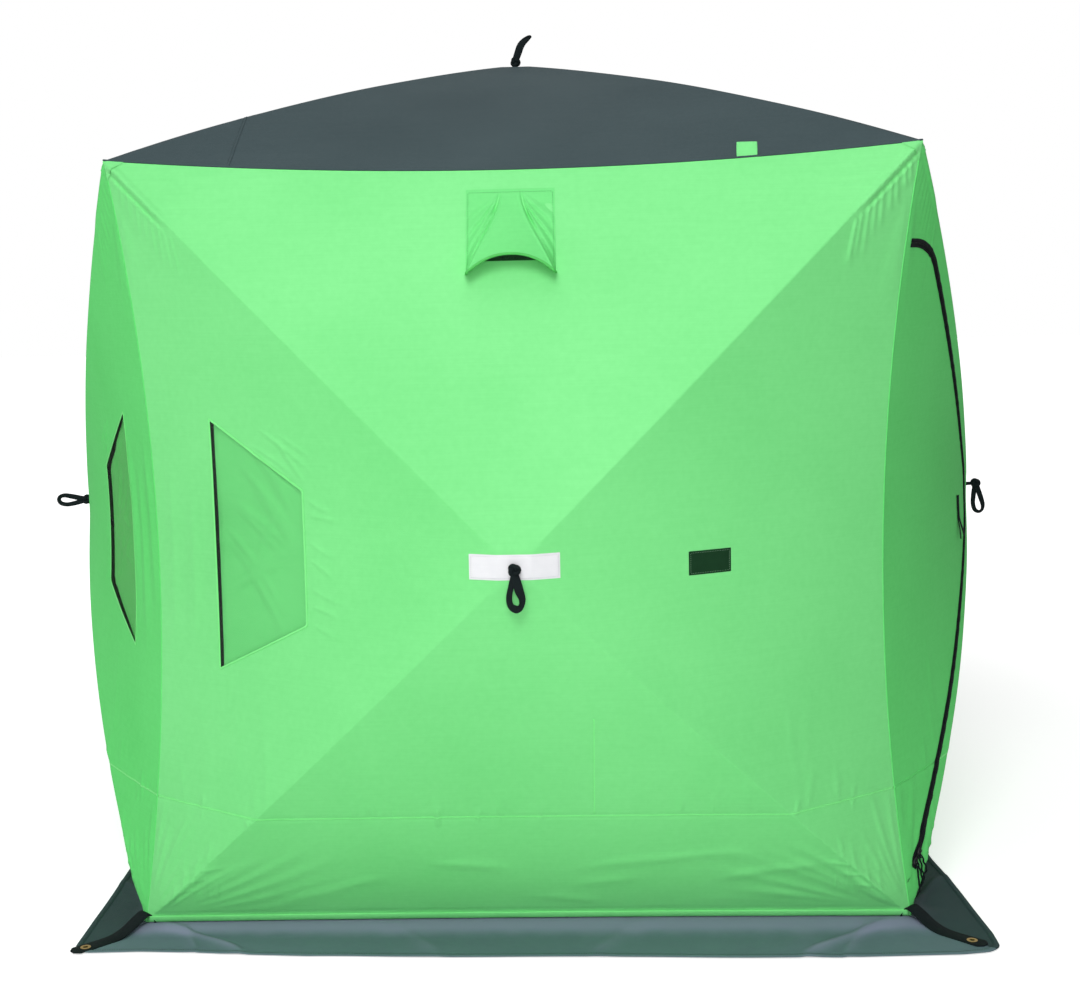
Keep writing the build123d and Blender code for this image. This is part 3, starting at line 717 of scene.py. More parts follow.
# the end walls' green is a paler, lit copy and the side walls' green a deeper, more saturated shaded copy of one cloth:
# painted light and painted shade for how the light falls on the walls
litEndWallGreen = clothFinish("litEndWallGreen", (99, 204, 113), (132, 230, 143), sheen=0.04, specular=0.36)
shadedSideGreen = clothFinish("shadedSideGreen", (84, 205, 100), (114, 233, 130))
# a lighter copy of the wall green for hems, band seams, window bindings and the top hem: painted highlight on edges
# that catch the light
highlitHemGreen = clothFinish("highlitHemGreen", (112, 222, 124), (142, 242, 150), relief=0.2)
blindGreen = clothFinish("blindGreen", (84, 188, 100), (114, 216, 127))
# a darker copy of the wall green for the vent hoods: painted shade over the hood
shadedHoodGreen = clothFinish("shadedHoodGreen", (86, 196, 102), (120, 226, 134), specular=0.3)
# a darker copy of the blind green: painted shade, used for the side windows' blinds and the hood rims
shadedBlindGreen = clothFinish("shadedBlindGreen", (70, 172, 80), (94, 198, 100))
roofSlate = clothFinish("roofSlate", (46, 61, 65), (72, 89, 92), relief=0.25, slub=0.9, mottle=110.0)
blackTape = clothFinish("blackTape", (6, 10, 11), (26, 32, 34), 0.0016, 0.35, sheen=0.0, specular=0.08)
blackWebbing = clothFinish("blackWebbing", (5, 10, 11), (28, 38, 40), 0.0022, 0.5, sheen=0.0, specular=0.08)
seamThread = clothFinish("seamThread", (124, 218, 132), (156, 240, 158), 0.0006, 0.3)
darkThread = clothFinish("darkThread", (58, 128, 72), (80, 156, 92), 0.0006, 0.3)
reflectiveTape = clothFinish("reflectiveTape", (214, 214, 219), (236, 236, 239), 0.0014, 0.25, 0.4, cloud=12.0,
                             specular=0.6)
hookTape = clothFinish("hookTape", (14, 46, 24), (36, 76, 48), 0.0018, 0.9, sheen=0.0, specular=0.06)
rodBlack = hardFinish("rodBlack", (48, 50, 52), 0.25, 0.45, scale=60.0)
mouldedBlack = hardFinish("mouldedBlack", (40, 42, 44), 0.4, 0.65, scale=220.0, relief=0.3)
rolledBrass = hardFinish("rolledBrass", (214, 178, 104), 0.22, 0.42, metallic=1.0, scale=140.0)
zipCoil = hardFinish("zipCoil", (18, 20, 22), 0.4, 0.6, scale=300.0)


def filmFinish():
    material, tree, shader = newFinish("clearFilm")
    marks = placeGroup(tree, scuffs, Scale=24.0, Low=0.12, High=0.3)
    tree.links.new(mixColours(tree, marks.outputs["Height"], fromPaint(190, 222, 196), fromPaint(224, 240, 226)),
                   shader.inputs["Base Color"])
    tree.links.new(marks.outputs["Roughness"], shader.inputs["Roughness"])
    addBump(tree, shader, marks.outputs["Height"], 0.3, 0.002)
    shader.inputs["Alpha"].default_value = 0.015
    return material


for material, nodes in ((filmFinish(), ("window_films",)), (rodBlack, ("wall_rods", "roof_rods")),
                        (mouldedBlack, ("wall_hubs", "roof_hub", "feet", "corner_caps")),
                        (rolledBrass, ("corner_grommets",))):
    for node in nodes:
        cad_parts[node].data.materials.clear()
        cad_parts[node].data.materials.append(material)
print("finishes made")

# camera, lights and floor

cameraSettings = {"at": (0.0847, -4.5809, 1.5144), "yaw": -0.0361, "pitch": 0.1312, "roll": -0.0225,
                  "lens": 54.83, "sensor": 36.0, "shift": (0.0417, -0.0076)}


def placeCamera():
    yaw, pitch, roll = [cameraSettings[key] for key in ("yaw", "pitch", "roll")]
    ahead = Vector((math.sin(yaw) * math.cos(pitch), math.cos(yaw) * math.cos(pitch), -math.sin(pitch)))
    level = Vector((math.cos(yaw), -math.sin(yaw), 0))
    above = level.cross(ahead)
    right = level * math.cos(roll) + above * math.sin(roll)
    up = above * math.cos(roll) - level * math.sin(roll)
    lensData = bpy.data.cameras.new("camera")
    lensData.sensor_width, lensData.lens = cameraSettings["sensor"], cameraSettings["lens"]
    lensData.shift_x, lensData.shift_y = cameraSettings["shift"]
    camera = bpy.data.objects.new("camera", lensData)
    bpy.context.scene.collection.objects.link(camera)
    turn = Matrix((right, up, -ahead)).transposed().to_4x4()
    camera.matrix_world = Matrix.Translation(cameraSettings["at"]) @ turn
    bpy.context.scene.camera = camera


lights = {
    "key": {"at": (-0.5, -5.2, 4.6), "size": 2.4, "power": 154},
    "front": {"at": (0.2, -6.4, 1.9), "size": 3.2, "power": 71},
    "low": {"at": (0.3, -5.4, 0.8), "size": 1.4, "power": 27},
    "top": {"at": (-0.3, -0.8, 5.4), "size": 3.0, "power": 40},
    "left": {"at": (-5.4, -1.2, 2.4), "size": 2.4, "power": 54},
}


def placeLights():
    for name, settings in lights.items():
        lamp = bpy.data.lights.new(name, "AREA")
        lamp.size, lamp.energy = settings["size"], settings["power"]
        holder = bpy.data.objects.new(name, lamp)
        bpy.context.scene.collection.objects.link(holder)
        holder.location = settings["at"]
        aim = Vector((0, 0, 0.95)) - Vector(settings["at"])
        holder.rotation_euler = aim.to_track_quat("-Z", "Y").to_euler()


worldSettings = {"light": 0.26, "inGloss": 0.3}


# what the camera sees, straight or through glass
def seenDirectly(tree):
    rays = tree.nodes.new("ShaderNodeLightPath")
    return rays, mathNode(tree, "MAXIMUM", rays.outputs["Is Camera Ray"], rays.outputs["Is Transmission Ray"])


def makeWorld():
    world = bpy.data.worlds.new("studio")
    bpy.context.scene.world = world
    world.use_nodes = True
    tree = world.node_tree
    tree.nodes.clear()
    out = tree.nodes.new("ShaderNodeOutputWorld")
    plain, seen = [addNode(tree, "ShaderNodeBackground", Color=(1, 1, 1, 1), Strength=strength)
                   for strength in (worldSettings["light"], 1.0)]
    rays, share = seenDirectly(tree)
    gloss = mathNode(tree, "MULTIPLY", rays.outputs["Is Glossy Ray"], worldSettings["inGloss"])
    share = mathNode(tree, "MAXIMUM", share, gloss)
    mix = tree.nodes.new("ShaderNodeMixShader")
    tree.links.new(share, mix.inputs[0])
    tree.links.new(plain.outputs[0], mix.inputs[1])
    tree.links.new(seen.outputs[0], mix.inputs[2])
    tree.links.new(mix.outputs[0], out.inputs[0])


floorSettings = {"size": 30.0, "near": 1.7, "far": 4.5, "nearGlow": 0.60, "farGlow": 1.0}


# the floor glows only for the camera and through glass, and more with its distance from the shelter
def makeFloor():
    size = floorSettings["size"]
    mesh = bpy.data.meshes.new("floor")
    mesh.from_pydata([(-size, -size, 0), (size, -size, 0), (size, size, 0), (-size, size, 0)], [], [(0, 1, 2, 3)])
    material, tree, shader = newFinish("paleFloor")
    noise = addNode(tree, "ShaderNodeTexNoise", Scale=0.7, Detail=3.0)
    tree.links.new(mixColours(tree, noise.outputs["Fac"], (0.80, 0.80, 0.80, 1), (0.83, 0.83, 0.83, 1)),
                   shader.inputs["Base Color"])
    shader.inputs["Roughness"].default_value = 0.9
    shader.inputs["Specular IOR Level"].default_value = 0.1
    place = addNode(tree, "ShaderNodeTexCoord")
    length = addNode(tree, "ShaderNodeVectorMath", operation="LENGTH")
    tree.links.new(place.outputs["Object"], length.inputs[0])
    spread = tree.nodes.new("ShaderNodeMapRange")
    spread.interpolation_type = "SMOOTHSTEP"
    for socket, key in (("From Min", "near"), ("From Max", "far"), ("To Min", "nearGlow"), ("To Max", "farGlow")):
        spread.inputs[socket].default_value = floorSettings[key]
    tree.links.new(length.outputs["Value"], spread.inputs["Value"])
    glow = mathNode(tree, "MULTIPLY", seenDirectly(tree)[1], spread.outputs["Result"])
    tree.links.new(mixColours(tree, glow, (0, 0, 0, 1), (1, 1, 1, 1)), shader.inputs["Emission Color"])
    shader.inputs["Emission Strength"].default_value = 1.0
    mesh.materials.append(material)
    floor = bpy.data.objects.new("floor", mesh)
    bpy.context.scene.collection.objects.link(floor)


placeCamera()
placeLights()
makeWorld()
makeFloor()
bpy.context.scene.view_settings.view_transform = "Standard"
print("camera and lights placed")

# the door's outline in the right wall

doorForm = {
    "hinge": 0.8145, "topRun": 0.069, "upperInset": 0.050, "lowerInset": 0.040,
    "shoulderRadius": 0.190, "noseRadius": 0.120, "tapeEnd": 0.8515, "joinTop": 0.84, "joinFoot": 0.886,
}
upperSlope = (form["cornerHeight"] - form["hubHeight"]) / form["cornerHalf"]
lowerSlope = (form["hubHeight"] - form["footHeight"]) / form["footHalf"]


def arcTurn(before, corner, after, radius, count=28):
    before, corner, after = [np.array(point, float) for point in (before, corner, after)]
    one, two = unit(before - corner), unit(after - corner)
    half = math.acos(np.clip(one @ two, -1, 1)) / 2
    centre = corner + unit(one + two) * radius / math.sin(half)
    start, end = corner + one * radius / math.tan(half), corner + two * radius / math.tan(half)
    first, last = [math.atan2(*(point - centre)[::-1]) for point in (start, end)]
    sweep = (last - first + math.pi) % (2 * math.pi) - math.pi
    turns = first + sweep * np.linspace(0, 1, count)
    return np.stack((centre[0] + radius * np.cos(turns), centre[1] + radius * np.sin(turns)), 1)


# the middle of the zip, from the top end beside the seam, round the nose, to the foot
def zipLine(topEnd, lowEnd):
    upper = form["hubHeight"] - doorForm["upperInset"] * math.hypot(1, upperSlope)
    lower = form["hubHeight"] + doorForm["lowerInset"] * math.hypot(1, lowerSlope)
    top = upper + upperSlope * (doorForm["hinge"] - doorForm["topRun"])
    shoulder = (-(doorForm["hinge"] - doorForm["topRun"]), top)
    nose = (lower - upper) / (upperSlope + lowerSlope)
    nosePoint = (-nose, upper + upperSlope * nose)
    start, end = (-topEnd, top), (-lowEnd, lower - lowerSlope * lowEnd)
    return np.vstack((start, arcTurn(start, shoulder, nosePoint, doorForm["shoulderRadius"]),
                      arcTurn(shoulder, nosePoint, end, doorForm["noseRadius"]), end))


def onSeam(side, edge, height):
    line = edgeLine(side, edge, 900)
    return line[np.argmin(np.abs(line[:, 1] - height))]


# the join between door and wall runs on from the zip to the corner seam
def doorOutline():
    top, reach = doorForm["joinTop"], doorForm["joinFoot"]
    topJoin = onSeam("right", 3, zipLine(top, reach)[0][1])
    for step in range(6):       # each step moves the foot of the join closer to the seam
        reach = -onSeam("right", 3, zipLine(top, reach)[-1][1])[0]
    line = zipLine(-topJoin[0], reach)
    seam = edgeLine("right", 3, 900)[:, :2]
    inside = seam[(seam[:, 1] > line[-1][1] + 1e-4) & (seam[:, 1] < line[0][1] - 1e-4)]
    return line, inside


doorJoin, doorSeam = doorOutline()

# walls

windowForm = {"outer": 0.680, "inner": 0.464, "outerLow": 0.268, "outerHigh": 0.298,
              "innerLow": 0.148, "innerHigh": 0.147}
ventForm = {"half": 0.098, "top": 0.082, "height": 0.185, "bulge": 0.052, "arch": 0.042,
            "holeHalf": 0.068, "holeTop": 0.145, "holeLow": 0.240, "netLap": 0.006, "netBehind": 0.0034,
            "hollow": 0.0095, "lip": 0.0024, "fan": 0.0025, "ripple": 0.0010}


def windowOutline(side, grow=0.0):
    outer, inner = windowForm["outer"] + grow, windowForm["inner"] - grow
    hub = form["hubHeight"]
    corners = [(-outer, hub - windowForm["outerLow"] - grow), (-inner, hub - windowForm["innerLow"] - grow),
               (-inner, hub + windowForm["innerHigh"] + grow), (-outer, hub + windowForm["outerHigh"] + grow)]
    flip = 1 if side in endWalls else -1
    return np.array([(flip * u, v) for u, v in corners][::flip])


def rectangle(left, right, low, high):
    return np.array(((left, low), (right, low), (right, high), (left, high)))


# the net follows each ridge, with lines close beside it and more of them at the rod ends
def creaseLines(side):
    skin = skins[side]
    hub = skin["hub"][:2]
    lines = []
    for corner in skin["corners"]:
        run = corner[:2] - hub
        start = hub + run * form["padHalf"] / abs(run[0])
        lines.append(np.array((start + run * 0.004, corner[:2] - run * 0.006)))
        heading = unit(run)
        aside = np.array((heading[1], -heading[0])) * np.sign(corner[0]) * -1
        if aside[1] > 0:
            aside = -aside
        for offset in (-0.003, 0.003):
            lines.append(np.array((start + heading * 0.03, corner[:2] - heading * 0.27)) + aside * offset)
        if side != "roof":
            for offset in (-0.0095, -0.0062, 0.0062, 0.0095, 0.0135, 0.0172, 0.0205, 0.0242):
                first = corner[:2] - heading * 0.265
                last = corner[:2] - heading * max(0.025, abs(offset) * 2.3)
                lines.append(np.linspace(first, last, 9) + aside * offset)
    return lines


# where the cloth is busiest: by the corners and along the band seam
def busyPlaces(side):
    corners = skins[side]["corners"][:, :2]

    def near(points):
        found = np.abs(points[:, 1] - form["bandHeight"]) < 0.026
        for index, corner in enumerate(corners):
            found |= np.hypot(*(points - corner).T) < (0.30, 0.30, 0.33, 0.33)[index]
        towards = -1 if side in endWalls else 1
        found |= (np.abs(points[:, 0] - towards * 0.51) < 0.17) & (np.abs(points[:, 1] - form["hubHeight"]) < 0.34)
        return found | (points[:, 1] < form["footHeight"] + 0.05)
    return near


sheetGrain = {"front": 0.0092, "left": 0.0110, "right": 0.0110, "back": 0.0120, "roof": 0.0120}
sheetFine = {"front": 0.0044, "left": 0.0058, "right": 0.0058, "back": 0.0062}


def wallOutline(side, edges=4):
    return np.vstack([edgeLine(side, edge, 160)[:-1, :2] for edge in range(edges)])


def makeWalls():
    ventHigh = form["cornerHeight"] - ventForm["holeTop"]
    ventLow = form["cornerHeight"] - ventForm["holeLow"]
    for side in walls:
        holes = [windowOutline(side)]
        if side in endWalls:
            holes.append(rectangle(-ventForm["holeHalf"], ventForm["holeHalf"], ventLow, ventHigh))
        outline = wallOutline(side)
        if side == "right":
            seam = edgeLine(side, 3, 600)[:, :2]
            below = seam[seam[:, 1] < doorJoin[-1][1] - 1e-4]
            above = seam[seam[:, 1] > doorJoin[0][1] + 1e-4]
            outline = np.vstack((wallOutline(side, 3), below, doorJoin[::-1], above))
        # the side walls take the painted-shade copy of the green, the end walls the painted-light copy
        green = litEndWallGreen if side in endWalls else shadedSideGreen
        cloth = clothSheet(side + "WallCloth", side, outline, green, "wall_cloth", holes, creaseLines(side),
                           sheetGrain[side], busy=busyPlaces(side), fine=sheetFine[side])
        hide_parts(side + "_wall", side + "_lower_band")
    print("walls made")


def makeRoof():
    outline = wallOutline("roof")
    cloth = clothSheet("roofCloth", "roof", outline, roofSlate, "roof_cloth", (), creaseLines("roof"),
                       sheetGrain["roof"])
    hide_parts("roof_panel", "roof_side_strip")
    print("roof made")


makeWalls()
makeRoof()


# a piece on the door has its placing baked into its points; the door's cloth is sewn to the wall at the corner seam
def bendWithDoor(piece):
    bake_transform(piece)


# the door is one sheet from the corner seam to the zip
def makeDoor():
    outline = np.vstack((doorJoin, doorSeam[np.argsort(doorSeam[:, 1])]))
    cloth = clothSheet("doorCloth", "right", outline, shadedSideGreen, "wall_cloth", (), (), 0.0095, body=None)
    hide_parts("door_panel")
    bendWithDoor(cloth)
    print("door made")


makeDoor()

# seams: raised welts with stitching along them

seamForm = {"welt": 0.0010, "roofWelt": 0.0024, "width": 0.0046, "thick": 0.0010, "stitchWidth": 0.0009,
            "hemWidth": 0.020, "hemThick": 0.0026, "hemUp": 0.0105, "topHem": 0.0055, "topHemDown": 0.0052,
            "joinAt": 0.162, "joinTop": 0.565, "doorGap": 0.018}


# points on the outer edge of a side, and which way a welt on it faces
def wallEdgePoints(side, edge, lift):
    points = toWorld(side, *edgeLine(side, edge, 200).T)
    if side == "roof":
        ups = np.tile((0.0, 0.0, 1.0), (len(points), 1))
    else:
        ups = unit((points - (0, 0, 0.95)) * (1, 1, 0.15))
    return points + ups * lift, ups


def makeCornerSeams():
    shapes = [sweepBar(*wallEdgePoints(side, 1, 0.0002), roundSection(seamForm["welt"], 8, 1.15))
              for side in ("front", "right", "back", "left")]
    joinedPiece("cornerSeams", shapes, shadedSideGreen, "wall_cloth")
    print("corner seams made")


# one seam along a line on a side: a flat fell of cloth, with a row of stitches on each side of it
def seamOn(side, path, width=seamForm["width"], thick=seamForm["thick"]):
    points, normals = onCloth(side, resample(path, 0.006), thick * 0.3)
    across = np.cross(headings(points), normals)
    rows = [stitchRow(points + across * width * share + normals * thick * 0.65, normals, width=seamForm["stitchWidth"])
            for share in (-0.36, 0.36)]
    return sweepBar(points, normals, ribbonSection(width, thick)), rows


def bandPath(side, first=None, last=None):
    height = form["bandHeight"]
    first = onSeam(side, 3, height)[0] + 0.002 if first is None else first
    last = onSeam(side, 1, height)[0] - 0.002 if last is None else last
    return np.stack((np.linspace(first, last, 300), np.full(300, height)), 1)


def makeBandSeams():
    bars, rows = [], []
    lower = doorJoin[doorJoin[:, 1] < form["hubHeight"]]
    zipAt = np.interp(form["bandHeight"], lower[::-1, 1], lower[::-1, 0])
    for side in walls:
        first = zipAt + seamForm["doorGap"] if side == "right" else None
        bar, stitches = seamOn(side, bandPath(side, first))
        bars.append(bar)
        rows += stitches
        if side == "front":     # a short join in the lower part of the wall
            heights = np.linspace(form["bandHeight"] + 0.006, seamForm["joinTop"], 60)
            bar, stitches = seamOn(side, np.stack((np.full(60, seamForm["joinAt"]), heights), 1), 0.0034, 0.0007)
            bars.append(bar)
            rows += stitches[:1]
    # the band seams take the lighter painted-highlight green
    joinedPiece("bandSeams", bars, highlitHemGreen, "wall_cloth")
    joinedPiece("bandStitches", rows, seamThread, "wall_cloth")
    # the stretch that crosses the door is a piece of its own
    bar, stitches = seamOn("right", bandPath("right", last=zipAt - seamForm["doorGap"]))
    bendWithDoor(joinedPiece("doorBandSeam", [bar] + stitches, shadedSideGreen, "wall_cloth", body=None))


def makeRoofEdges():
    dark, light, rows = [], [], []
    for edge in range(4):
        points, ups = wallEdgePoints("roof", edge, 0.0012)
        dark.append(sweepBar(points, ups, roundSection(seamForm["roofWelt"], 8)))
        outward = unit(points * (1, 1, 0))
        low = points + outward * 0.0012 - ups * seamForm["topHemDown"]
        light.append(sweepBar(low, outward, ribbonSection(seamForm["topHem"], 0.0018)))
        rows.append(stitchRow(low + outward * 0.0011, outward))
    joinedPiece("roofEdgeWelt", dark, roofSlate, "roof_cloth")
    joinedPiece("wallTopHem", light, highlitHemGreen, "wall_cloth")
    joinedPiece("wallTopStitches", rows, seamThread, "wall_cloth")
    edge = skins["roof"]["corners"][1][0]
    run = np.stack((np.full(700, roofStrip), np.linspace(-edge, edge, 700)), 1)
    bar, stitches = seamOn("roof", run[insideOf(wallOutline("roof"), run)], 0.008, 0.0014)
    joinedPiece("roofStripSeam", [bar], roofSlate, "roof_cloth")
    joinedPiece("roofStripStitches", stitches, blackTape, "roof_cloth")
    print("roof seams made")


# the turned hem along the foot of each wall
def makeHems():
    bars, rows = [], []
    width, thick = seamForm["hemWidth"], seamForm["hemThick"]
    for side in walls:
        path = edgeLine(side, 2, 300, 0.004, 0.996)[:, :2] + (0, seamForm["hemUp"])
        points, normals = onCloth(side, path, 0.0010)
        bars.append(sweepBar(points, normals, ribbonSection(width, thick)))
        up = np.cross(normals, headings(points))
        up *= np.sign(up[:, 2])[:, None]
        rows.append(stitchRow(points + normals * thick * 0.62 + up * width * 0.33, normals,
                              width=seamForm["stitchWidth"]))
    joinedPiece("wallHems", bars, highlitHemGreen, "wall_cloth")
    joinedPiece("hemStitches", rows, seamThread, "wall_cloth")
    print("hems made")


makeCornerSeams()
makeBandSeams()
makeRoofEdges()
makeHems()

# snow skirt

skirtForm = {"half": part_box("front_skirt")[1].x, "cornerRadius": 0.040, "cloth": 0.0032, "slope": 0.064,
             "wallHeight": 0.0185, "wave": 0.0016, "hem": 0.013, "hemThick": 0.0022, "tuck": 0.007,
             "cornerReach": 0.030, "edgeWave": 0.003, "ripple": 0.0012}

# wedge folds on each side as (start along, end along, height, width): they rise at the wall and run out to the edge
skirtFolds = {
    "front": ((0.955, 0.70, 0.0075, 0.022), (0.90, 0.80, 0.0045, 0.014), (-0.95, -0.72, 0.0065, 0.022),
              (-0.90, -0.84, 0.0035, 0.014), (0.30, 0.18, 0.0030, 0.03), (-0.35, -0.22, 0.0026, 0.03)),
    "left": ((0.93, 0.66, 0.0065, 0.022), (0.2, 0.05, 0.004, 0.03), (-0.93, -0.7, 0.006, 0.022)),
    "right": ((-0.94, -0.68, 0.007, 0.022), (-0.1, 0.1, 0.004, 0.03), (0.93, 0.7, 0.006, 0.022)),
    "back": ((0.93, 0.7, 0.006, 0.022), (-0.93, -0.72, 0.006, 0.022), (0.1, 0.0, 0.003, 0.03)),
}
skirtSeeds = {"front": 0.0, "back": 3.1, "left": 5.7, "right": 8.3}

# how much further the outer edge reaches along the front and right sides
skirtReach = {
    "front": ((-1, -0.86, -0.73, -0.48, 0, 0.37, 0.69, 0.93, 1),
              (0, -0.004, 0.002, 0.030, 0.040, 0.050, 0.058, 0.046, 0.030)),
    "right": ((-1, -0.93, -0.48, 0, 1), (0.030, 0.033, 0.006, 0, 0)),
}


def skirtOuter(share):
    half, radius = skirtForm["half"], skirtForm["cornerRadius"]
    diagonal = half - radius * (1 - math.sqrt(0.5))
    across = share * diagonal
    past = np.clip(np.abs(across) - (half - radius), 0, radius)
    return across, half - radius + np.sqrt(radius ** 2 - past ** 2)


# a place on the skirt: its share along the side from -1 to 1, and its distance out from the wall's edge, 0 to 1
def skirtPoint(side, share, outShare):
    foot, draw = form["footHalf"], form["bottomDraw"]
    innerU, innerW = share * foot, foot - draw * (1 - share ** 2) - skirtForm["tuck"]
    outerU, outerW = skirtOuter(share)
    places, reach = skirtReach.get(side, ((-1, 1), (0, 0)))
    wavy = skirtForm["edgeWave"] * unevenWave(outerU, 0.4, 33) * smooth((0.96 - np.abs(share)) / 0.1)
    outerW = outerW + np.interp(share, places, reach) + wavy
    if side in ("front", "right"):      # the corner between them reaches out both ways
        way = 1 if side == "front" else -1
        outerU = outerU + way * skirtForm["cornerReach"] * smooth((way * share - 0.82) / 0.18)
    u = innerU + (outerU - innerU) * outShare
    w = innerW + (outerW - innerW) * outShare
    away = outShare * (skirtForm["half"] - foot)
    fall = 1 - smooth((away - 0.004) / skirtForm["slope"])
    mitre = skirtForm["cloth"] + (skirtForm["wallHeight"] - skirtForm["cloth"]) * fall
    free = smooth((away - 0.015) / 0.05)
    seed = skirtSeeds[side]
    swell = 0.5 + 0.5 * unevenWave(u + seed, 0.33, 41)
    settle = 1 - 0.75 * smooth((outShare - 0.72) / 0.28)     # the outer edge lies on the ground
    height = mitre + free * settle * skirtForm["wave"] * (1 + unevenWave(u + 0.7 * away + seed, 0.17, 43)) * swell
    height = height + skirtForm["ripple"] * np.exp(-((away - 0.05) / 0.02) ** 2) * unevenWave(u + seed, 0.06, 45)
    for start, end, rise, width in skirtFolds[side]:
        centre = (start + (end - start) * smooth(outShare) ** 0.8) * foot
        across = (u - centre) / width
        steep = np.where(across * np.sign(end - start) > 0, 1.8, 0.7)
        height = height + rise * np.exp(-(across * steep) ** 2) * smooth(outShare / 0.2) * settle
    corner = smooth((np.abs(share) - 0.955) / 0.045)
    return u, w, height * (1 - corner) + mitre * corner


# the flat area of a mitred flap: half the sum of its inner and outer edges, times its width up the slope
def skirtCut(side):
    foot, half = form["footHalf"], skirtForm["half"]
    places, reach = skirtReach.get(side, ((-1, 1), (0, 0)))
    width = half - foot + skirtForm["tuck"] + form["bottomDraw"] * 2 / 3
    width += np.interp(np.linspace(-1, 1, 201), places, reach).mean()
    return (foot + half) * math.hypot(width, skirtForm["wallHeight"])


# a line along a skirt at one distance out from the wall
def alongSkirt(side, outShare):
    u, w, height = skirtPoint(side, np.linspace(-1, 1, 500), np.full(500, outShare))
    return toWorld(side, u, height, w)


def makeSkirt():
    hems, rows = {}, []
    ups = np.tile((0, 0, 1.0), (500, 1))
    for side in walls:
        share, out, faces = evenNet(360, 30)
        u, w, height = skirtPoint(side, share, out)
        # the left and right skirts take the darker painted-shade copy
        cloth = meshPiece(side + "SkirtCloth", toWorld(side, u, height, w), faces,
                          skirtCloth if side in endWalls else shadedSideSkirt, slot="skirt_cloth")
        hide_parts(side + "_skirt")
        skirtCut(side)
        section = ribbonSection(skirtForm["hem"], skirtForm["hemThick"])
        hems[side] = sweepBar(alongSkirt(side, 0.962) + ups * 0.0008, ups, section)
        rows.append(stitchRow(alongSkirt(side, 0.94) + ups * 0.0021, ups, width=0.0011))
    joinedPiece("skirtHems", [hems["front"], hems["back"]], skirtCloth, "skirt_cloth")
    joinedPiece("sideSkirtHems", [hems["left"], hems["right"]], shadedSideSkirt, "skirt_cloth")
    joinedPiece("skirtStitches", rows, blackTape, "skirt_cloth")
    print("skirt made")


# a paler, bluer tint is painted on the skirt's cloth where it slopes up to the wall: painted light for the light that
# slope catches
def slopeLitFinish(name, dark, light, slope):
    material = clothFinish(name, dark, light, relief=0.3, mottle=90.0)
    tree = material.node_tree
    shader = tree.nodes["Principled BSDF"]
    plain = shader.inputs["Base Color"].links[0].from_socket
    place = addNode(tree, "ShaderNodeTexCoord")
    apart = addNode(tree, "ShaderNodeSeparateXYZ")
    tree.links.new(place.outputs["Object"], apart.inputs[0])
    height = addNode(tree, "ShaderNodeMapRange", interpolation_type="SMOOTHSTEP", From_Min=0.004, From_Max=0.013)
    tree.links.new(apart.outputs["Z"], height.inputs["Value"])
    slopeLitTint = mixColours(tree, 0.6, plain, fromPaint(*slope))
    tree.links.new(mixColours(tree, height.outputs["Result"], plain, slopeLitTint), shader.inputs["Base Color"])
    return material


skirtCloth = slopeLitFinish("skirtCloth", (82, 104, 112), (108, 132, 138), (146, 148, 176))
# a darker copy of the skirt cloth for the left and right skirts and their hems: painted shade for the flaps that lie in
# shadow
shadedSideSkirt = slopeLitFinish("shadedSideSkirt", (40, 58, 59), (58, 80, 82), (66, 82, 90))
makeSkirt()

# windows: a turned edge round each opening, and a blind of slacker cloth behind the film

blindForm = {"behind": 0.0080, "lap": 0.012, "gap": 0.007, "farGap": 0.017, "overlap": 0.006, "taper": 0.022,
             "shadowSheetBehind": 0.0155, "binding": 0.0046, "bindingThick": 0.0012, "wrinkles": 11, "wrinkle": 0.0078,
             "wrinkleWidth": 0.008, "deepest": 0.0048}


# a blind's outline: it laps over three edges of the opening and stops short of the upright outer one
def blindOutline(side, flip):
    panel, opening = windowOutline(side, blindForm["lap"]), windowOutline(side)
    outer = np.abs(panel[:, 0]) > 0.6
    middle = form["hubHeight"]
    panel[outer, 0] = -flip * (windowForm["outer"] - blindForm["gap"])
    panel[outer & (panel[:, 1] < middle), 1] = opening[outer, 1].min() - blindForm["overlap"]
    panel[outer & (panel[:, 1] > middle), 1] = opening[outer, 1].max() + blindForm["overlap"]
    if flip < 0:        # the side windows' blinds stop short of the far edge
        panel[~outer, 0] -= flip * blindForm["farGap"]
        panel[~outer, 1] -= np.sign(panel[~outer, 1] - middle) * blindForm["taper"]
    return panel


# slanting wrinkles from the tall side towards the short side
def blindSlack(side, flip, u, v):
    inward = (np.abs(u) - windowForm["inner"]) / (windowForm["outer"] - windowForm["inner"])
    slack = np.zeros(len(u))
    draw = np.random.default_rng(61 + len(side)).uniform
    for k in range(blindForm["wrinkles"]):
        high = form["hubHeight"] + 0.27 - 0.035 * k + draw(-0.02, 0.02)
        start = (-flip * draw(0.58, 0.67), high)
        end = (-flip * draw(0.46, 0.52), high - draw(0.10, 0.24) * (1 if k < 8 else -0.6))
        slack += fold(u, v, start, end, blindForm["wrinkleWidth"], draw(0.5, 1.0) * blindForm["wrinkle"], 0.35, 0.04)
    slack += 0.0011 * unevenWave(u * 2 + v, 0.16, 71) + 0.0012 * unevenWave(v, 0.06, 73) * smooth(inward)
    return np.clip(slack, -blindForm["deepest"], blindForm["deepest"])


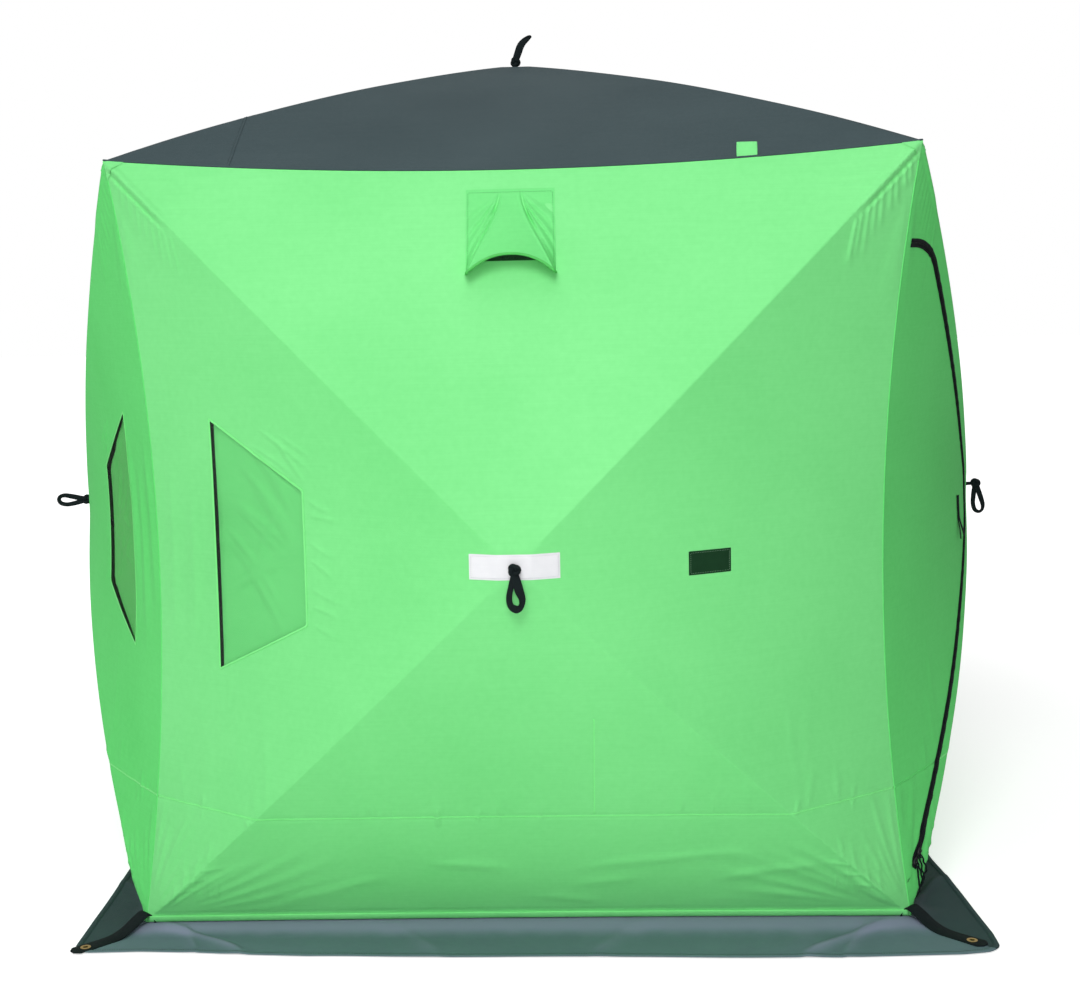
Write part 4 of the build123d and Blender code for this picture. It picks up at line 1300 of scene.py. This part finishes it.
def makeWindows():
    bindings, stitches, shadowSheets = [], [], []
    for side in walls:
        flip = 1 if side in endWalls else -1
        panel = blindOutline(side, flip)
        net, faces = flatNet(panel, (), (), 0.0078)
        u, v = net[:, 0], net[:, 1]
        depth = skinDepth(side, u, v) - blindForm["behind"] + blindSlack(side, flip, u, v)
        # the side windows' blinds take the darker painted-shade copy
        blind = meshPiece(side + "Blind", toWorld(side, u, v, depth), faces,
                          blindGreen if flip > 0 else shadedBlindGreen, slot="wall_cloth")
        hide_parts("window_blinds")
        # a black sheet behind the blind is painted shade: it stands for the dark inside and shows in the gaps
        net, faces = flatNet(windowOutline(side, blindForm["lap"]), (), (), 0.02)
        depth = skinDepth(side, net[:, 0], net[:, 1]) - blindForm["shadowSheetBehind"]
        shadowSheets.append((toWorld(side, net[:, 0], net[:, 1], depth), faces))
        ring = resample(windowOutline(side, blindForm["binding"] * 0.45), 0.006, True)
        section = ribbonSection(blindForm["binding"], blindForm["bindingThick"])
        bindings.append(sweepBar(*onCloth(side, ring, 0.0005), section, closed=True))
        loop = resample(windowOutline(side, blindForm["binding"] * 0.8), 0.006, True)
        stitches.append(stitchRow(*onCloth(side, np.vstack((loop, loop[:1])), 0.0014)))
    joinedPiece("windowBindings", bindings, highlitHemGreen, "wall_cloth")
    joinedPiece("windowStitches", stitches, seamThread, "wall_cloth")
    joinedPiece("windowShadowSheets", shadowSheets, blackTape, "zip")
    print("windows made")


makeWindows()

# vent hoods

# a place on a hood: across from -1 to 1, and down from its sewn top edge to its open rim
def hoodPlace(across, down):
    top = form["cornerHeight"] - ventForm["top"]
    u, v = across * ventForm["half"], top - ventForm["height"] * down
    pleat = 0.20 + 0.76 * down ** 1.5
    out = np.abs(across)
    middle = 1 - 0.16 * (out / np.maximum(pleat, 0.05)) ** 2
    flank = 0.84 * np.clip((1 - out) / np.maximum(1 - pleat, 0.02), 0, 1) ** 1.25
    lift = ventForm["bulge"] * smooth(down * 0.75 + 0.02) / smooth(0.77) * np.where(out < pleat, middle, flank)
    past = out - pleat
    lift = lift - ventForm["hollow"] * smooth(down / 0.25) * (1 - 0.6 * down) * np.exp(-((past - 0.035) / 0.03) ** 2)
    lift = lift + ventForm["lip"] * smooth(down / 0.2) * np.exp(-((past + 0.02) / 0.03) ** 2)
    fan = np.arctan2(np.maximum(past, 0) * 1.4, np.maximum(down, 0.02))
    fanned = smooth(past / 0.06) * smooth((1 - out) / 0.1) * smooth(down / 0.3)
    lift = lift + ventForm["fan"] * np.sin(fan * 17 + 1.3 * np.sign(across)) * fanned
    lift = lift + ventForm["ripple"] * unevenWave(across * 0.4 + down, 0.7, 91) * smooth(down / 0.3)
    return u, v + ventForm["arch"] * down ** 2 * (1 - out ** 2.2), lift


def hoodPoints(side, across, down):
    u, v, lift = hoodPlace(across, down)
    return toWorld(side, u, v, clothDepth(side, u, v) + 0.0014 + lift)


def makeHoods():
    rims, stitches = [], []
    flank = np.linspace(0.05, 0.985, 60)
    for side in endWalls:
        across, down, faces = evenNet(121, 76)
        hood = meshPiece(side + "VentHoodCloth", hoodPoints(side, across, down), faces, shadedHoodGreen, slot="wall_cloth")
        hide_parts(side + "_vent_hood")
        outs = np.tile(np.array(sideAxes[side][2], float), (90, 1)) + np.array((0, 0, -0.5))
        rim = hoodPoints(side, np.linspace(-1, 1, 90), np.ones(90))
        rims.append(sweepBar(rim, outs, roundSection(0.0030, 10, 0.8)))
        for across, down, height in ((np.linspace(-0.95, 0.95, 60), np.full(60, 0.045), 0.0024),
                                     (np.full(60, -0.955), flank, 0.0026), (np.full(60, 0.955), flank, 0.0026)):
            u, v, lift = hoodPlace(across, down)
            points, normals = onCloth(side, np.stack((u, v), 1), height)
            stitches.append(stitchRow(points + normals * lift[:, None], normals, 0.0062, width=0.0014))
        lap, eaves = ventForm["netLap"], form["cornerHeight"]
        low, high = eaves - ventForm["holeLow"] - lap, eaves - ventForm["holeTop"] + lap
        half = ventForm["holeHalf"] + lap
        net, faces = flatNet(rectangle(-half, half, low, high), (), (), 0.006)
        u, v = net[:, 0], net[:, 1]
        depth = skinDepth(side, u, v) - ventForm["netBehind"] + 0.0008 * unevenWave(u + v, 0.05, 95)
        mesh = meshPiece(side + "VentMesh", toWorld(side, u, v, depth), faces, ventNet, slot="vent_mesh")
        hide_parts("vent_meshes")
    # the hood rims take the darker painted-shade green as a line of shadow
    joinedPiece("hoodRims", rims, shadedBlindGreen, "wall_cloth")
    joinedPiece("hoodStitches", stitches, darkThread, "wall_cloth")
    print("vent hoods made")


def netFinish():
    material = clothFinish("ventNet", (34, 62, 44), (58, 92, 66), 0.0032, 0.6, slub=0.1)
    tree = material.node_tree
    threads = [node for node in tree.nodes if node.type == "GROUP" and node.node_tree == weave][0]
    holes = mathNode(tree, "MULTIPLY_ADD", threads.outputs["Height"], 2.2, 0.95, clamp=True)
    tree.links.new(holes, tree.nodes["Principled BSDF"].inputs["Alpha"])
    return material


ventNet = netFinish()
makeHoods()

# the door's zip

zipForm = {"half": 0.0026, "tape": 0.0088, "thick": 0.0013, "tapeLift": 0.0011, "ripple": 0.0005, "coil": 0.0015,
           "coilAt": 0.0016, "coilLift": 0.0021, "tooth": 0.0026, "toothWidth": 0.0013, "toothReach": 0.0021,
           "toothUp": 0.0016, "toothLift": 0.0006, "step": 0.005}


def offsetPath(path, distance):
    run = headings(path)
    return path + np.stack((-run[:, 1], run[:, 0]), 1) * distance


def makeZip():
    middle = resample(zipLine(doorForm["tapeEnd"], doorForm["tapeEnd"]), zipForm["step"])
    for name, sign, body in (("zipTapeWall", -1, "shelter"), ("zipTapeDoor", 1, None)):
        tapePath = offsetPath(middle, sign * (zipForm["half"] * 0.4 + zipForm["tape"] / 2))
        points, normals = onCloth("right", tapePath, zipForm["tapeLift"])
        ripple = zipForm["ripple"] * unevenWave(np.arange(len(tapePath)) * zipForm["step"], 0.03, 101)
        section = ribbonSection(zipForm["tape"], zipForm["thick"])
        shapes = [sweepBar(points + normals * ripple[:, None], normals, section)]
        points, normals = onCloth("right", offsetPath(middle, sign * zipForm["coilAt"]), zipForm["coilLift"])
        shapes.append(sweepBar(points, normals, roundSection(zipForm["coil"], 6)))
        tape = joinedPiece(name, shapes, blackTape, "zip", body)
        index = np.arange(0.0015, len(middle) * zipForm["step"] - 0.006, zipForm["tooth"]) / zipForm["step"]
        at, ups = [placesAt(index, np.arange(len(points)), line) for line in (points, normals)]
        run = headings(at)
        across = np.cross(run, ups)
        reach, thin = zipForm["toothReach"], zipForm["toothWidth"] / 2
        corners = [across * reach, ups * zipForm["toothUp"], -across * reach, run * thin, -run * thin]
        pattern = ((0, 3, 1), (1, 3, 2), (0, 1, 4), (1, 2, 4), (0, 4, 2, 3))
        teeth = spindles(at + ups * zipForm["toothLift"], corners, pattern)
        teeth = joinedPiece(name.replace("Tape", "Coil"), [teeth], zipCoil, "zip", body)
        if body:
            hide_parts("door_zip_track")
        else:
            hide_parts("door_zip_tape")
            bendWithDoor(tape)
            bendWithDoor(teeth)
    print("zip made")


makeZip()

sliderForm = {"places": (0.8225, 0.8405), "length": 0.018, "width": 0.011, "height": 0.0052, "sides": 14,
              "bridge": 0.0011, "loop": 0.088, "loopHalf": 0.0065, "cord": 0.0021, "knot": 0.0015, "sway": 0.004}


def tube(points, radius, sides=8, closed=False):
    points = np.asarray(points, float)
    run = headings(points, closed)
    guide = np.tile((0.31, 0.52, 0.79), (len(points), 1))
    guide = guide - run * np.sum(guide * run, axis=1)[:, None]
    return sweepBar(points, guide, roundSection(radius, sides), closed)


# a smooth line that passes through each of a few points
def smoothLine(points, count=80, closed=False):
    points = np.asarray(points, float)
    if closed:
        points = np.vstack((points[-1:], points, points[:2]))
    else:
        points = np.vstack((2 * points[:1] - points[1:2], points, 2 * points[-1:] - points[-2:-1]))
    pieces = len(points) - 3
    out = []
    for t in np.linspace(0, pieces - (pieces / count if closed else 1e-9), count):
        k = min(int(t), pieces - 1)
        f = t - k
        p0, p1, p2, p3 = points[k:k + 4]
        out.append(0.5 * (2 * p1 + (p2 - p0) * f + (2 * p0 - 5 * p1 + 4 * p2 - p3) * f ** 2
                          + (3 * p1 - p0 - 3 * p2 + p3) * f ** 3))
    return np.array(out)


# a slider's waisted body, rounded at both ends
def sliderBody(points, normals):
    across = np.cross(headings(points), normals)
    sides, verts = sliderForm["sides"], []
    turns = np.linspace(0, 2 * math.pi, sides, endpoint=False)
    for i, s in enumerate(np.linspace(-0.5, 0.5, len(points))):
        end = 1 - (2 * s) ** 6
        wide = sliderForm["width"] / 2 * (0.62 + 0.38 * math.cos(s * 2.4) ** 2) * math.sqrt(max(end, 0.02))
        high = sliderForm["height"] / 2 * math.sqrt(max(end, 0.04))
        for turn in turns:
            c, d = [math.copysign(abs(value) ** 0.6, value) for value in (math.cos(turn), math.sin(turn))]
            verts.append(points[i] + across[i] * wide * c + normals[i] * high * d)
    last = (len(points) - 1) * sides
    faces = [(i * sides + k, i * sides + m, (i + 1) * sides + m, (i + 1) * sides + k)
             for i in range(len(points) - 1) for k, m in zip(range(sides), [*range(1, sides), 0])]
    return np.array(verts), faces + [tuple(range(sides))[::-1], tuple(last + k for k in range(sides))]


def makeSliders():
    shapes, cords = [], []
    half = sliderForm["loopHalf"]
    run = np.array((-1, -lowerSlope)) / math.hypot(1, lowerSlope)
    for index, place in enumerate(sliderForm["places"]):
        height = form["hubHeight"] + doorForm["lowerInset"] * math.hypot(1, lowerSlope) - lowerSlope * place
        centre = np.array((-place, height))
        path = [centre + run * sliderForm["length"] * s for s in np.linspace(-0.5, 0.5, 13)]
        points, normals = onCloth("right", path, 0.0028)
        shapes.append(sliderBody(points, normals))
        bridge = [points[k] + normals[k] * lift for k, lift in ((2, 0.0022), (4, 0.0056), (8, 0.0056), (10, 0.0022))]
        shapes.append(tube(smoothLine(bridge, 20), sliderForm["bridge"]))
        sway = (-1) ** index * sliderForm["sway"]
        loop = [(0, 0.001), (half * 0.5, -0.012), (half + sway * 0.4, -0.045), (half * 1.1 + sway, -0.075),
                (sway, -sliderForm["loop"]), (-half * 1.1 + sway, -0.075), (-half + sway * 0.3, -0.04),
                (-half * 0.5, -0.012)]
        points = onCloth("right", smoothLine(loop, 90, True) + centre, 0.0048)[0]
        cords.append(tube(points, sliderForm["cord"], 8, True))
        knot = [centre + (0.0028 * math.cos(turn), -0.014 + 0.0022 * math.sin(turn))
                for turn in np.linspace(0, 2 * math.pi, 16, endpoint=False)]
        cords.append(tube(onCloth("right", knot, 0.0056)[0], sliderForm["knot"], 8, True))
    sliders = joinedPiece("zipSliders", shapes, zipCoil, "zip")
    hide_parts("door_zip_pulls")
    joinedPiece("zipPullCords", cords, blackWebbing, "zip")
    print("sliders made")


makeSliders()

# the tie on the door: one strap sewn down at its top, its two tails parting below

tieForm = {"at": -0.242, "heights": (0.912, 0.885, 0.858, 0.830, 0.800), "width": 0.012, "thick": 0.0018, "curl": 0.007}


def makeTie():
    shapes = []
    for sideways, tip, lift, share in ((-1, 0.026, 0.0022, 0.8), (1, 0.014, 0.0038, 1)):
        across = [tieForm["at"] + sideways * step for step in (0.0035, 0.003, 0.003, tip * 0.45, tip)]
        points, normals = onCloth("right", smoothLine(list(zip(across, tieForm["heights"])), 50), lift)
        curl = tieForm["curl"] * smooth((np.linspace(0, 1, 50) - 0.5) / 0.5)
        section = ribbonSection(tieForm["width"] * share, tieForm["thick"])
        shapes.append(sweepBar(points + normals * curl[:, None], normals, section))
    tie = joinedPiece("doorTieStraps", shapes, blackWebbing, "webbing", "door")
    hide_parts("door_tie_tab")
    print("tie made")


makeTie()

# patches

patchForm = {"thick": 0.0013, "border": 0.004, "groove": 0.0006, "wave": 0.0004}


def boxOn(side, node):
    low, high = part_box(node)
    across = np.array(sideAxes[side][0], float)
    ends = sorted((float(np.dot(across, low)), float(np.dot(across, high))))
    return ends[0], ends[1], low.z, high.z


# a patch sewn on round its edge, with the stitches in a shallow groove
def patchOn(name, side, node, material, slot, thread):
    left, right, low, high = boxOn(side, node)
    net, faces = flatNet(rectangle(left, right, low, high), (), (), 0.0034)
    u, v = net[:, 0], net[:, 1]
    inward = np.minimum(np.minimum(u - left, right - u), np.minimum(v - low, high - v))
    border = patchForm["border"]
    lift = 0.0004 + patchForm["thick"] * smooth(inward / 0.0012)
    lift = lift - patchForm["groove"] * np.exp(-((inward - border) / 0.0014) ** 2)
    lift = lift + patchForm["wave"] * unevenWave(u * 1.3 + v, 0.05, 111) * smooth(inward / border)
    points, normals = onCloth(side, net, 0)
    patch = meshPiece(name, points + normals * lift[:, None], faces, material, slot=slot)
    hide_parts(node)
    ring = rectangle(left + border, right - border, low + border, high - border)
    ring = np.vstack((resample(ring, 0.003, True), ring[:1]))
    joinedPiece(name + "Stitches", [stitchRow(*onCloth(side, ring, 0.0016), 0.0042, 0.0030, 0.0011)], thread, slot)


patchThread = clothFinish("patchThread", (176, 172, 182), (206, 202, 210), 0.0006, 0.3)
hookThread = clothFinish("hookThread", (120, 160, 128), (160, 196, 166), 0.0006, 0.3)
patchOn("frontReflector", "front", "front_reflective_patch", reflectiveTape, "reflective", patchThread)
patchOn("backReflector", "back", "back_reflective_patch", reflectiveTape, "reflective", patchThread)
patchOn("hookPatch", "front", "front_hook_patch", hookTape, "hook_tape", hookThread)
print("patches made")

# straps

pullForm = {"thick": 0.0022, "knotTurn": 0.0068, "knotTube": 0.0050, "lobe": 0.42, "knotDeep": 0.0042, "neck": 0.0048}

# the loop's line: sideways, along and out, then the webbing's width and its lean out of flat, in degrees
loopShapes = {
    "hanging": ((-0.001, 0.004, 0.002, 0.015, 20), (0.003, 0.020, 0.003, 0.018, 8), (0.008, 0.042, 0.004, 0.019, -6),
                (0.0135, 0.062, 0.002, 0.016, -30), (0.010, 0.078, -0.001, 0.015, -48),
                (0.000, 0.083, -0.003, 0.0165, -20), (-0.011, 0.075, -0.003, 0.014, 12),
                (-0.0135, 0.058, -0.004, 0.0135, 26), (-0.008, 0.034, -0.004, 0.013, 30),
                (-0.002, 0.012, -0.003, 0.013, 24)),
    "open": ((0.001, 0.004, 0.002, 0.014, 10), (0.005, 0.022, 0.002, 0.015, 8), (0.010, 0.046, 0.001, 0.0145, 12),
             (0.0125, 0.064, 0.000, 0.013, 20), (0.009, 0.077, -0.001, 0.012, 34), (0.000, 0.0815, -0.001, 0.012, 40),
             (-0.010, 0.075, -0.001, 0.012, 30), (-0.0135, 0.058, -0.001, 0.012, 16),
             (-0.010, 0.036, -0.001, 0.013, 10), (-0.004, 0.014, 0.000, 0.014, 10)),
    "bent": ((-0.001, 0.004, 0.002, 0.018, 6), (0.000, 0.024, 0.003, 0.020, 4), (0.001, 0.044, 0.003, 0.020, 8),
             (0.006, 0.060, 0.002, 0.017, 24), (0.015, 0.073, 0.001, 0.014, 40), (0.019, 0.076, 0.000, 0.013, 60),
             (0.014, 0.069, -0.002, 0.015, 46), (0.004, 0.054, -0.003, 0.018, 20), (0.000, 0.034, -0.003, 0.019, 8),
             (-0.001, 0.012, -0.002, 0.018, 6)),
}


def pullStrap(shape, knot, along, sideways, out, root):
    knot, along, sideways, out, root = [np.array(value, float) for value in (knot, along, sideways, out, root)]
    table = smoothLine(np.array(loopShapes[shape]), 120, True)
    points = knot + table[:, :1] * sideways + table[:, 1:2] * along + table[:, 2:3] * out
    run = headings(points, True)
    lean = np.radians(table[:, 4])[:, None]
    across = unit(np.cross(run, out)) * np.cos(lean) + out * np.sin(lean)
    ups = unit(np.cross(across, run))
    half, thin = table[:, 3:4] / 2, pullForm["thick"] / 2
    ring = [(-1, 0.5), (-0.9, 1), (0.9, 1), (1, 0.5), (1, -0.5), (0.9, -1), (-0.9, -1), (-1, -0.5)]
    verts = np.stack([points + across * half * a + ups * thin * b for a, b in ring], 1).reshape(-1, 3)
    count = len(points)
    faces = [(i * 8 + k, i * 8 + (k + 1) % 8, ((i + 1) % count) * 8 + (k + 1) % 8, ((i + 1) % count) * 8 + k)
             for i in range(count) for k in range(8)]
    shapes = [(verts, faces)]
    turns = np.linspace(0, 2 * math.pi, 90, endpoint=False)
    ring = pullForm["knotTurn"] * (1 + pullForm["lobe"] * np.cos(3 * turns))
    place = knot + np.outer(ring * np.cos(2 * turns), sideways) + np.outer(ring * np.sin(2 * turns), along) \
        + np.outer(pullForm["knotDeep"] * np.sin(3 * turns), out)
    shapes.append(tube(place, pullForm["knotTube"], 10, True))
    neck = smoothLine([root, root + (knot - root) * 0.5 + sideways * 0.001, knot], 16)
    shapes.append(tube(neck, pullForm["neck"], 10))
    return shapes


def tilted(degrees):
    return math.sin(math.radians(degrees)), math.cos(math.radians(degrees))


def makePullStraps():
    reach, height = form["hubReach"], form["hubHeight"]
    lean, drop = tilted(8)
    shapes = pullStrap("hanging", (0, -reach - 0.0155, height), (0.03, 0, -1), (1, 0, 0.03), (0, -1, 0),
                       (0, -reach + 0.003, height))
    shapes += pullStrap("hanging", (0, reach + 0.0155, height), (0, 0, -1), (-1, 0, 0), (0, 1, 0),
                        (0, reach - 0.003, height))
    shapes += pullStrap("open", (-reach - 0.015, 0, height), (-1, 0, 0), (0, 0, 1), (0, -1, 0),
                        (-reach + 0.003, 0, height))
    shapes += pullStrap("open", (reach + 0.034, 0, height + 0.002), (lean, 0, -drop), (drop, 0, lean), (0, -1, 0),
                        (reach - 0.003, 0, height))
    straps = joinedPiece("pullStraps", shapes, blackWebbing, "webbing")
    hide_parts("wall_pull_straps")
    lean, rise = tilted(18)
    shapes = pullStrap("bent", (0.001, 0, roofTop + 0.0165), (lean, 0, rise), (rise, 0, -lean), (0, -1, 0),
                       (0, 0, roofTop - 0.003))
    strap = joinedPiece("roofPullStrap", shapes, blackWebbing, "webbing")
    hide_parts("roof_pull_strap")
    print("pull straps made")


makePullStraps()

cornerStrapForm = {"start": 0.882, "startHeight": 0.0150, "humpHeight": 0.043, "grommet": 1.008, "hole": 0.0078,
                   "tip": 1.033, "width": 0.040, "thick": 0.0024, "lie": 0.0068, "cup": 0.0022, "cut": 0.012,
                   "stitchIn": 0.004}


# the strap's outline, flat, with its two clipped corners and the ring of its hole
def strapOutline(length, hole):
    half, cut = cornerStrapForm["width"] / 2, cornerStrapForm["cut"]
    outline = np.array([(0, -half), (length - cut, -half), (length, -half + cut), (length, half - cut),
                        (length - cut, half), (0, half)])
    turns = np.linspace(0, 2 * math.pi, 28, endpoint=False)
    ring = np.stack((hole + cornerStrapForm["hole"] * np.cos(turns), cornerStrapForm["hole"] * np.sin(turns)), 1)
    return flatNet(outline, (ring,), (), 0.0036)


# a strap over each corner of the skirt, along the diagonal, bent over a hump beside the wall
def makeCornerStraps():
    size, root2 = cornerStrapForm, math.sqrt(2)
    start, lie = size["start"] * root2, size["lie"]
    profile = smoothLine([(start, size["startHeight"]), (start + 0.016, size["humpHeight"]), (start + 0.040, 0.036),
                          (start + 0.075, 0.017), (start + 0.112, lie + 0.001), (size["grommet"] * root2, lie),
                          (size["tip"] * root2, lie - 0.0004)], 160)
    travelled = travelledAlong(profile)
    length, half = travelled[-1], size["width"] / 2
    net, faces = strapOutline(length, np.interp(size["grommet"] * root2, profile[:, 0], travelled))
    up = np.array((0, 0, 1.0))

    def lieAlong(along, across, away, side, raised=0.0):
        out, height = placesAt(along, travelled, profile).T
        cupped = size["cup"] * np.sin(along / length * math.pi) * (across / half) ** 2
        return np.outer(out, away) + np.outer(across, side) + np.outer(height - cupped + raised, up)

    along = np.clip(net[:, 0], 0, length)
    slopeOut, slopeUp = placesAt(along, travelled, np.gradient(profile, travelled, axis=0)).T
    pairs = dict.fromkeys(pair for a, b, c in faces for pair in ((a, b), (b, c), (c, a)))
    rim = [pair for pair in pairs if pair[::-1] not in pairs]      # the edges with a face on one side only
    count, shapes, rows = len(net), [], []
    for sx, sy in ((-1, -1), (1, -1), (1, 1), (-1, 1)):
        away, side = np.array((sx, sy, 0)) / root2, np.array((-sy, sx, 0)) / root2
        top = lieAlong(along, net[:, 1], away, side)
        low = top - (np.outer(slopeOut, up) - np.outer(slopeUp, away)) * size["thick"]
        turned = [tuple(face) for face in faces] + [tuple(count + i for i in face[::-1]) for face in faces]
        turned += [(b, a, count + a, count + b) for a, b in rim]
        shapes.append((np.vstack((top, low)), turned))
        line = np.linspace(size["stitchIn"], length - 0.016, 60)
        for offset in (-half + size["stitchIn"], half - size["stitchIn"]):
            points = lieAlong(line, np.full(60, offset), away, side, 0.0004)
            rows.append(stitchRow(points, np.tile(up, (60, 1))))
    straps = joinedPiece("cornerStrapWebbing", shapes, blackWebbing, "webbing")
    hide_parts("corner_straps")
    joinedPiece("cornerStrapStitches", rows, blackTape, "webbing")
    print("corner straps made")


makeCornerStraps()

# corner pockets and the roof's tab

pocketForm = {"leg": 0.046, "lift": 0.0016, "reach": 0.62}


# a second layer of cloth over the two top corners of each wall
def makePockets():
    hub = np.array((0, form["hubHeight"]))
    for side in walls:
        shapes = []
        for corner, seamEdge in ((0, 3), (1, 1)):
            tip = skins[side]["corners"][corner][:2]
            alongTop, alongSeam = [line[np.linalg.norm(line - tip, axis=1) < pocketForm["leg"]]
                                   for line in (edgeLine(side, edge, 400)[:, :2] for edge in (0, seamEdge))]
            middle = (tip + unit(hub - tip) * pocketForm["leg"] * pocketForm["reach"])[None]
            rings = (alongTop, alongSeam[1:], middle) if corner else (middle, alongSeam[:-1], alongTop)
            net, faces = flatNet(np.vstack(rings), (), (), 0.005)
            shapes.append((onCloth(side, net, pocketForm["lift"])[0], faces))
        joinedPiece(side + "CornerPockets", shapes, litEndWallGreen if side in endWalls else shadedSideGreen, "wall_cloth")
    print("corner pockets made")


makePockets()

tabForm = {"thick": 0.0022, "tuck": 0.003, "curl": 0.004}


# a small tab that stands up at the roof's edge, thinner towards its top
def makeRoofTab():
    low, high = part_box("roof_tab")
    columns, ranks = 25, 21
    across, up, faces = evenNet(columns, ranks, 0)
    faces = [(a, d, c, b) for a, b, c, d in faces]
    x = low.x + (high.x - low.x) * across + 0.0015 * np.sin(up * 3) * (across - 0.5)
    base = edgeLine("front", 0, 400)
    rootZ, rootY = np.interp(x, base[:, 0], base[:, 1]), -np.interp(x, base[:, 0], base[:, 2])
    z = rootZ - tabForm["tuck"] + (high.z - rootZ + tabForm["tuck"]) * up - 0.0014 * (across - 0.3) ** 2 * up
    curl = tabForm["curl"] * up ** 2 + 0.0016 * np.sin(across * 5.2 + 0.6) * up
    top = np.stack((x, rootY - 0.0008 + curl, z), 1)
    back = top + np.array((0, tabForm["thick"], 0)) * (1 - 0.5 * up[:, None] ** 6)
    count, grid = columns * ranks, np.arange(columns * ranks).reshape(ranks, columns)
    rim = [*grid[0], *grid[1:, -1], *grid[-1, -2::-1], *grid[-2:0:-1, 0]]
    faces += [tuple(count + i for i in face[::-1]) for face in faces]
    faces += [(second, first, count + first, count + second) for first, second in zip(rim, rim[1:] + rim[:1])]
    tab = meshPiece("roofTabCloth", np.vstack((top, back)), faces, litEndWallGreen, slot="wall_cloth")
    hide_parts("roof_tab")
    print("roof tab made")


makeRoofTab()
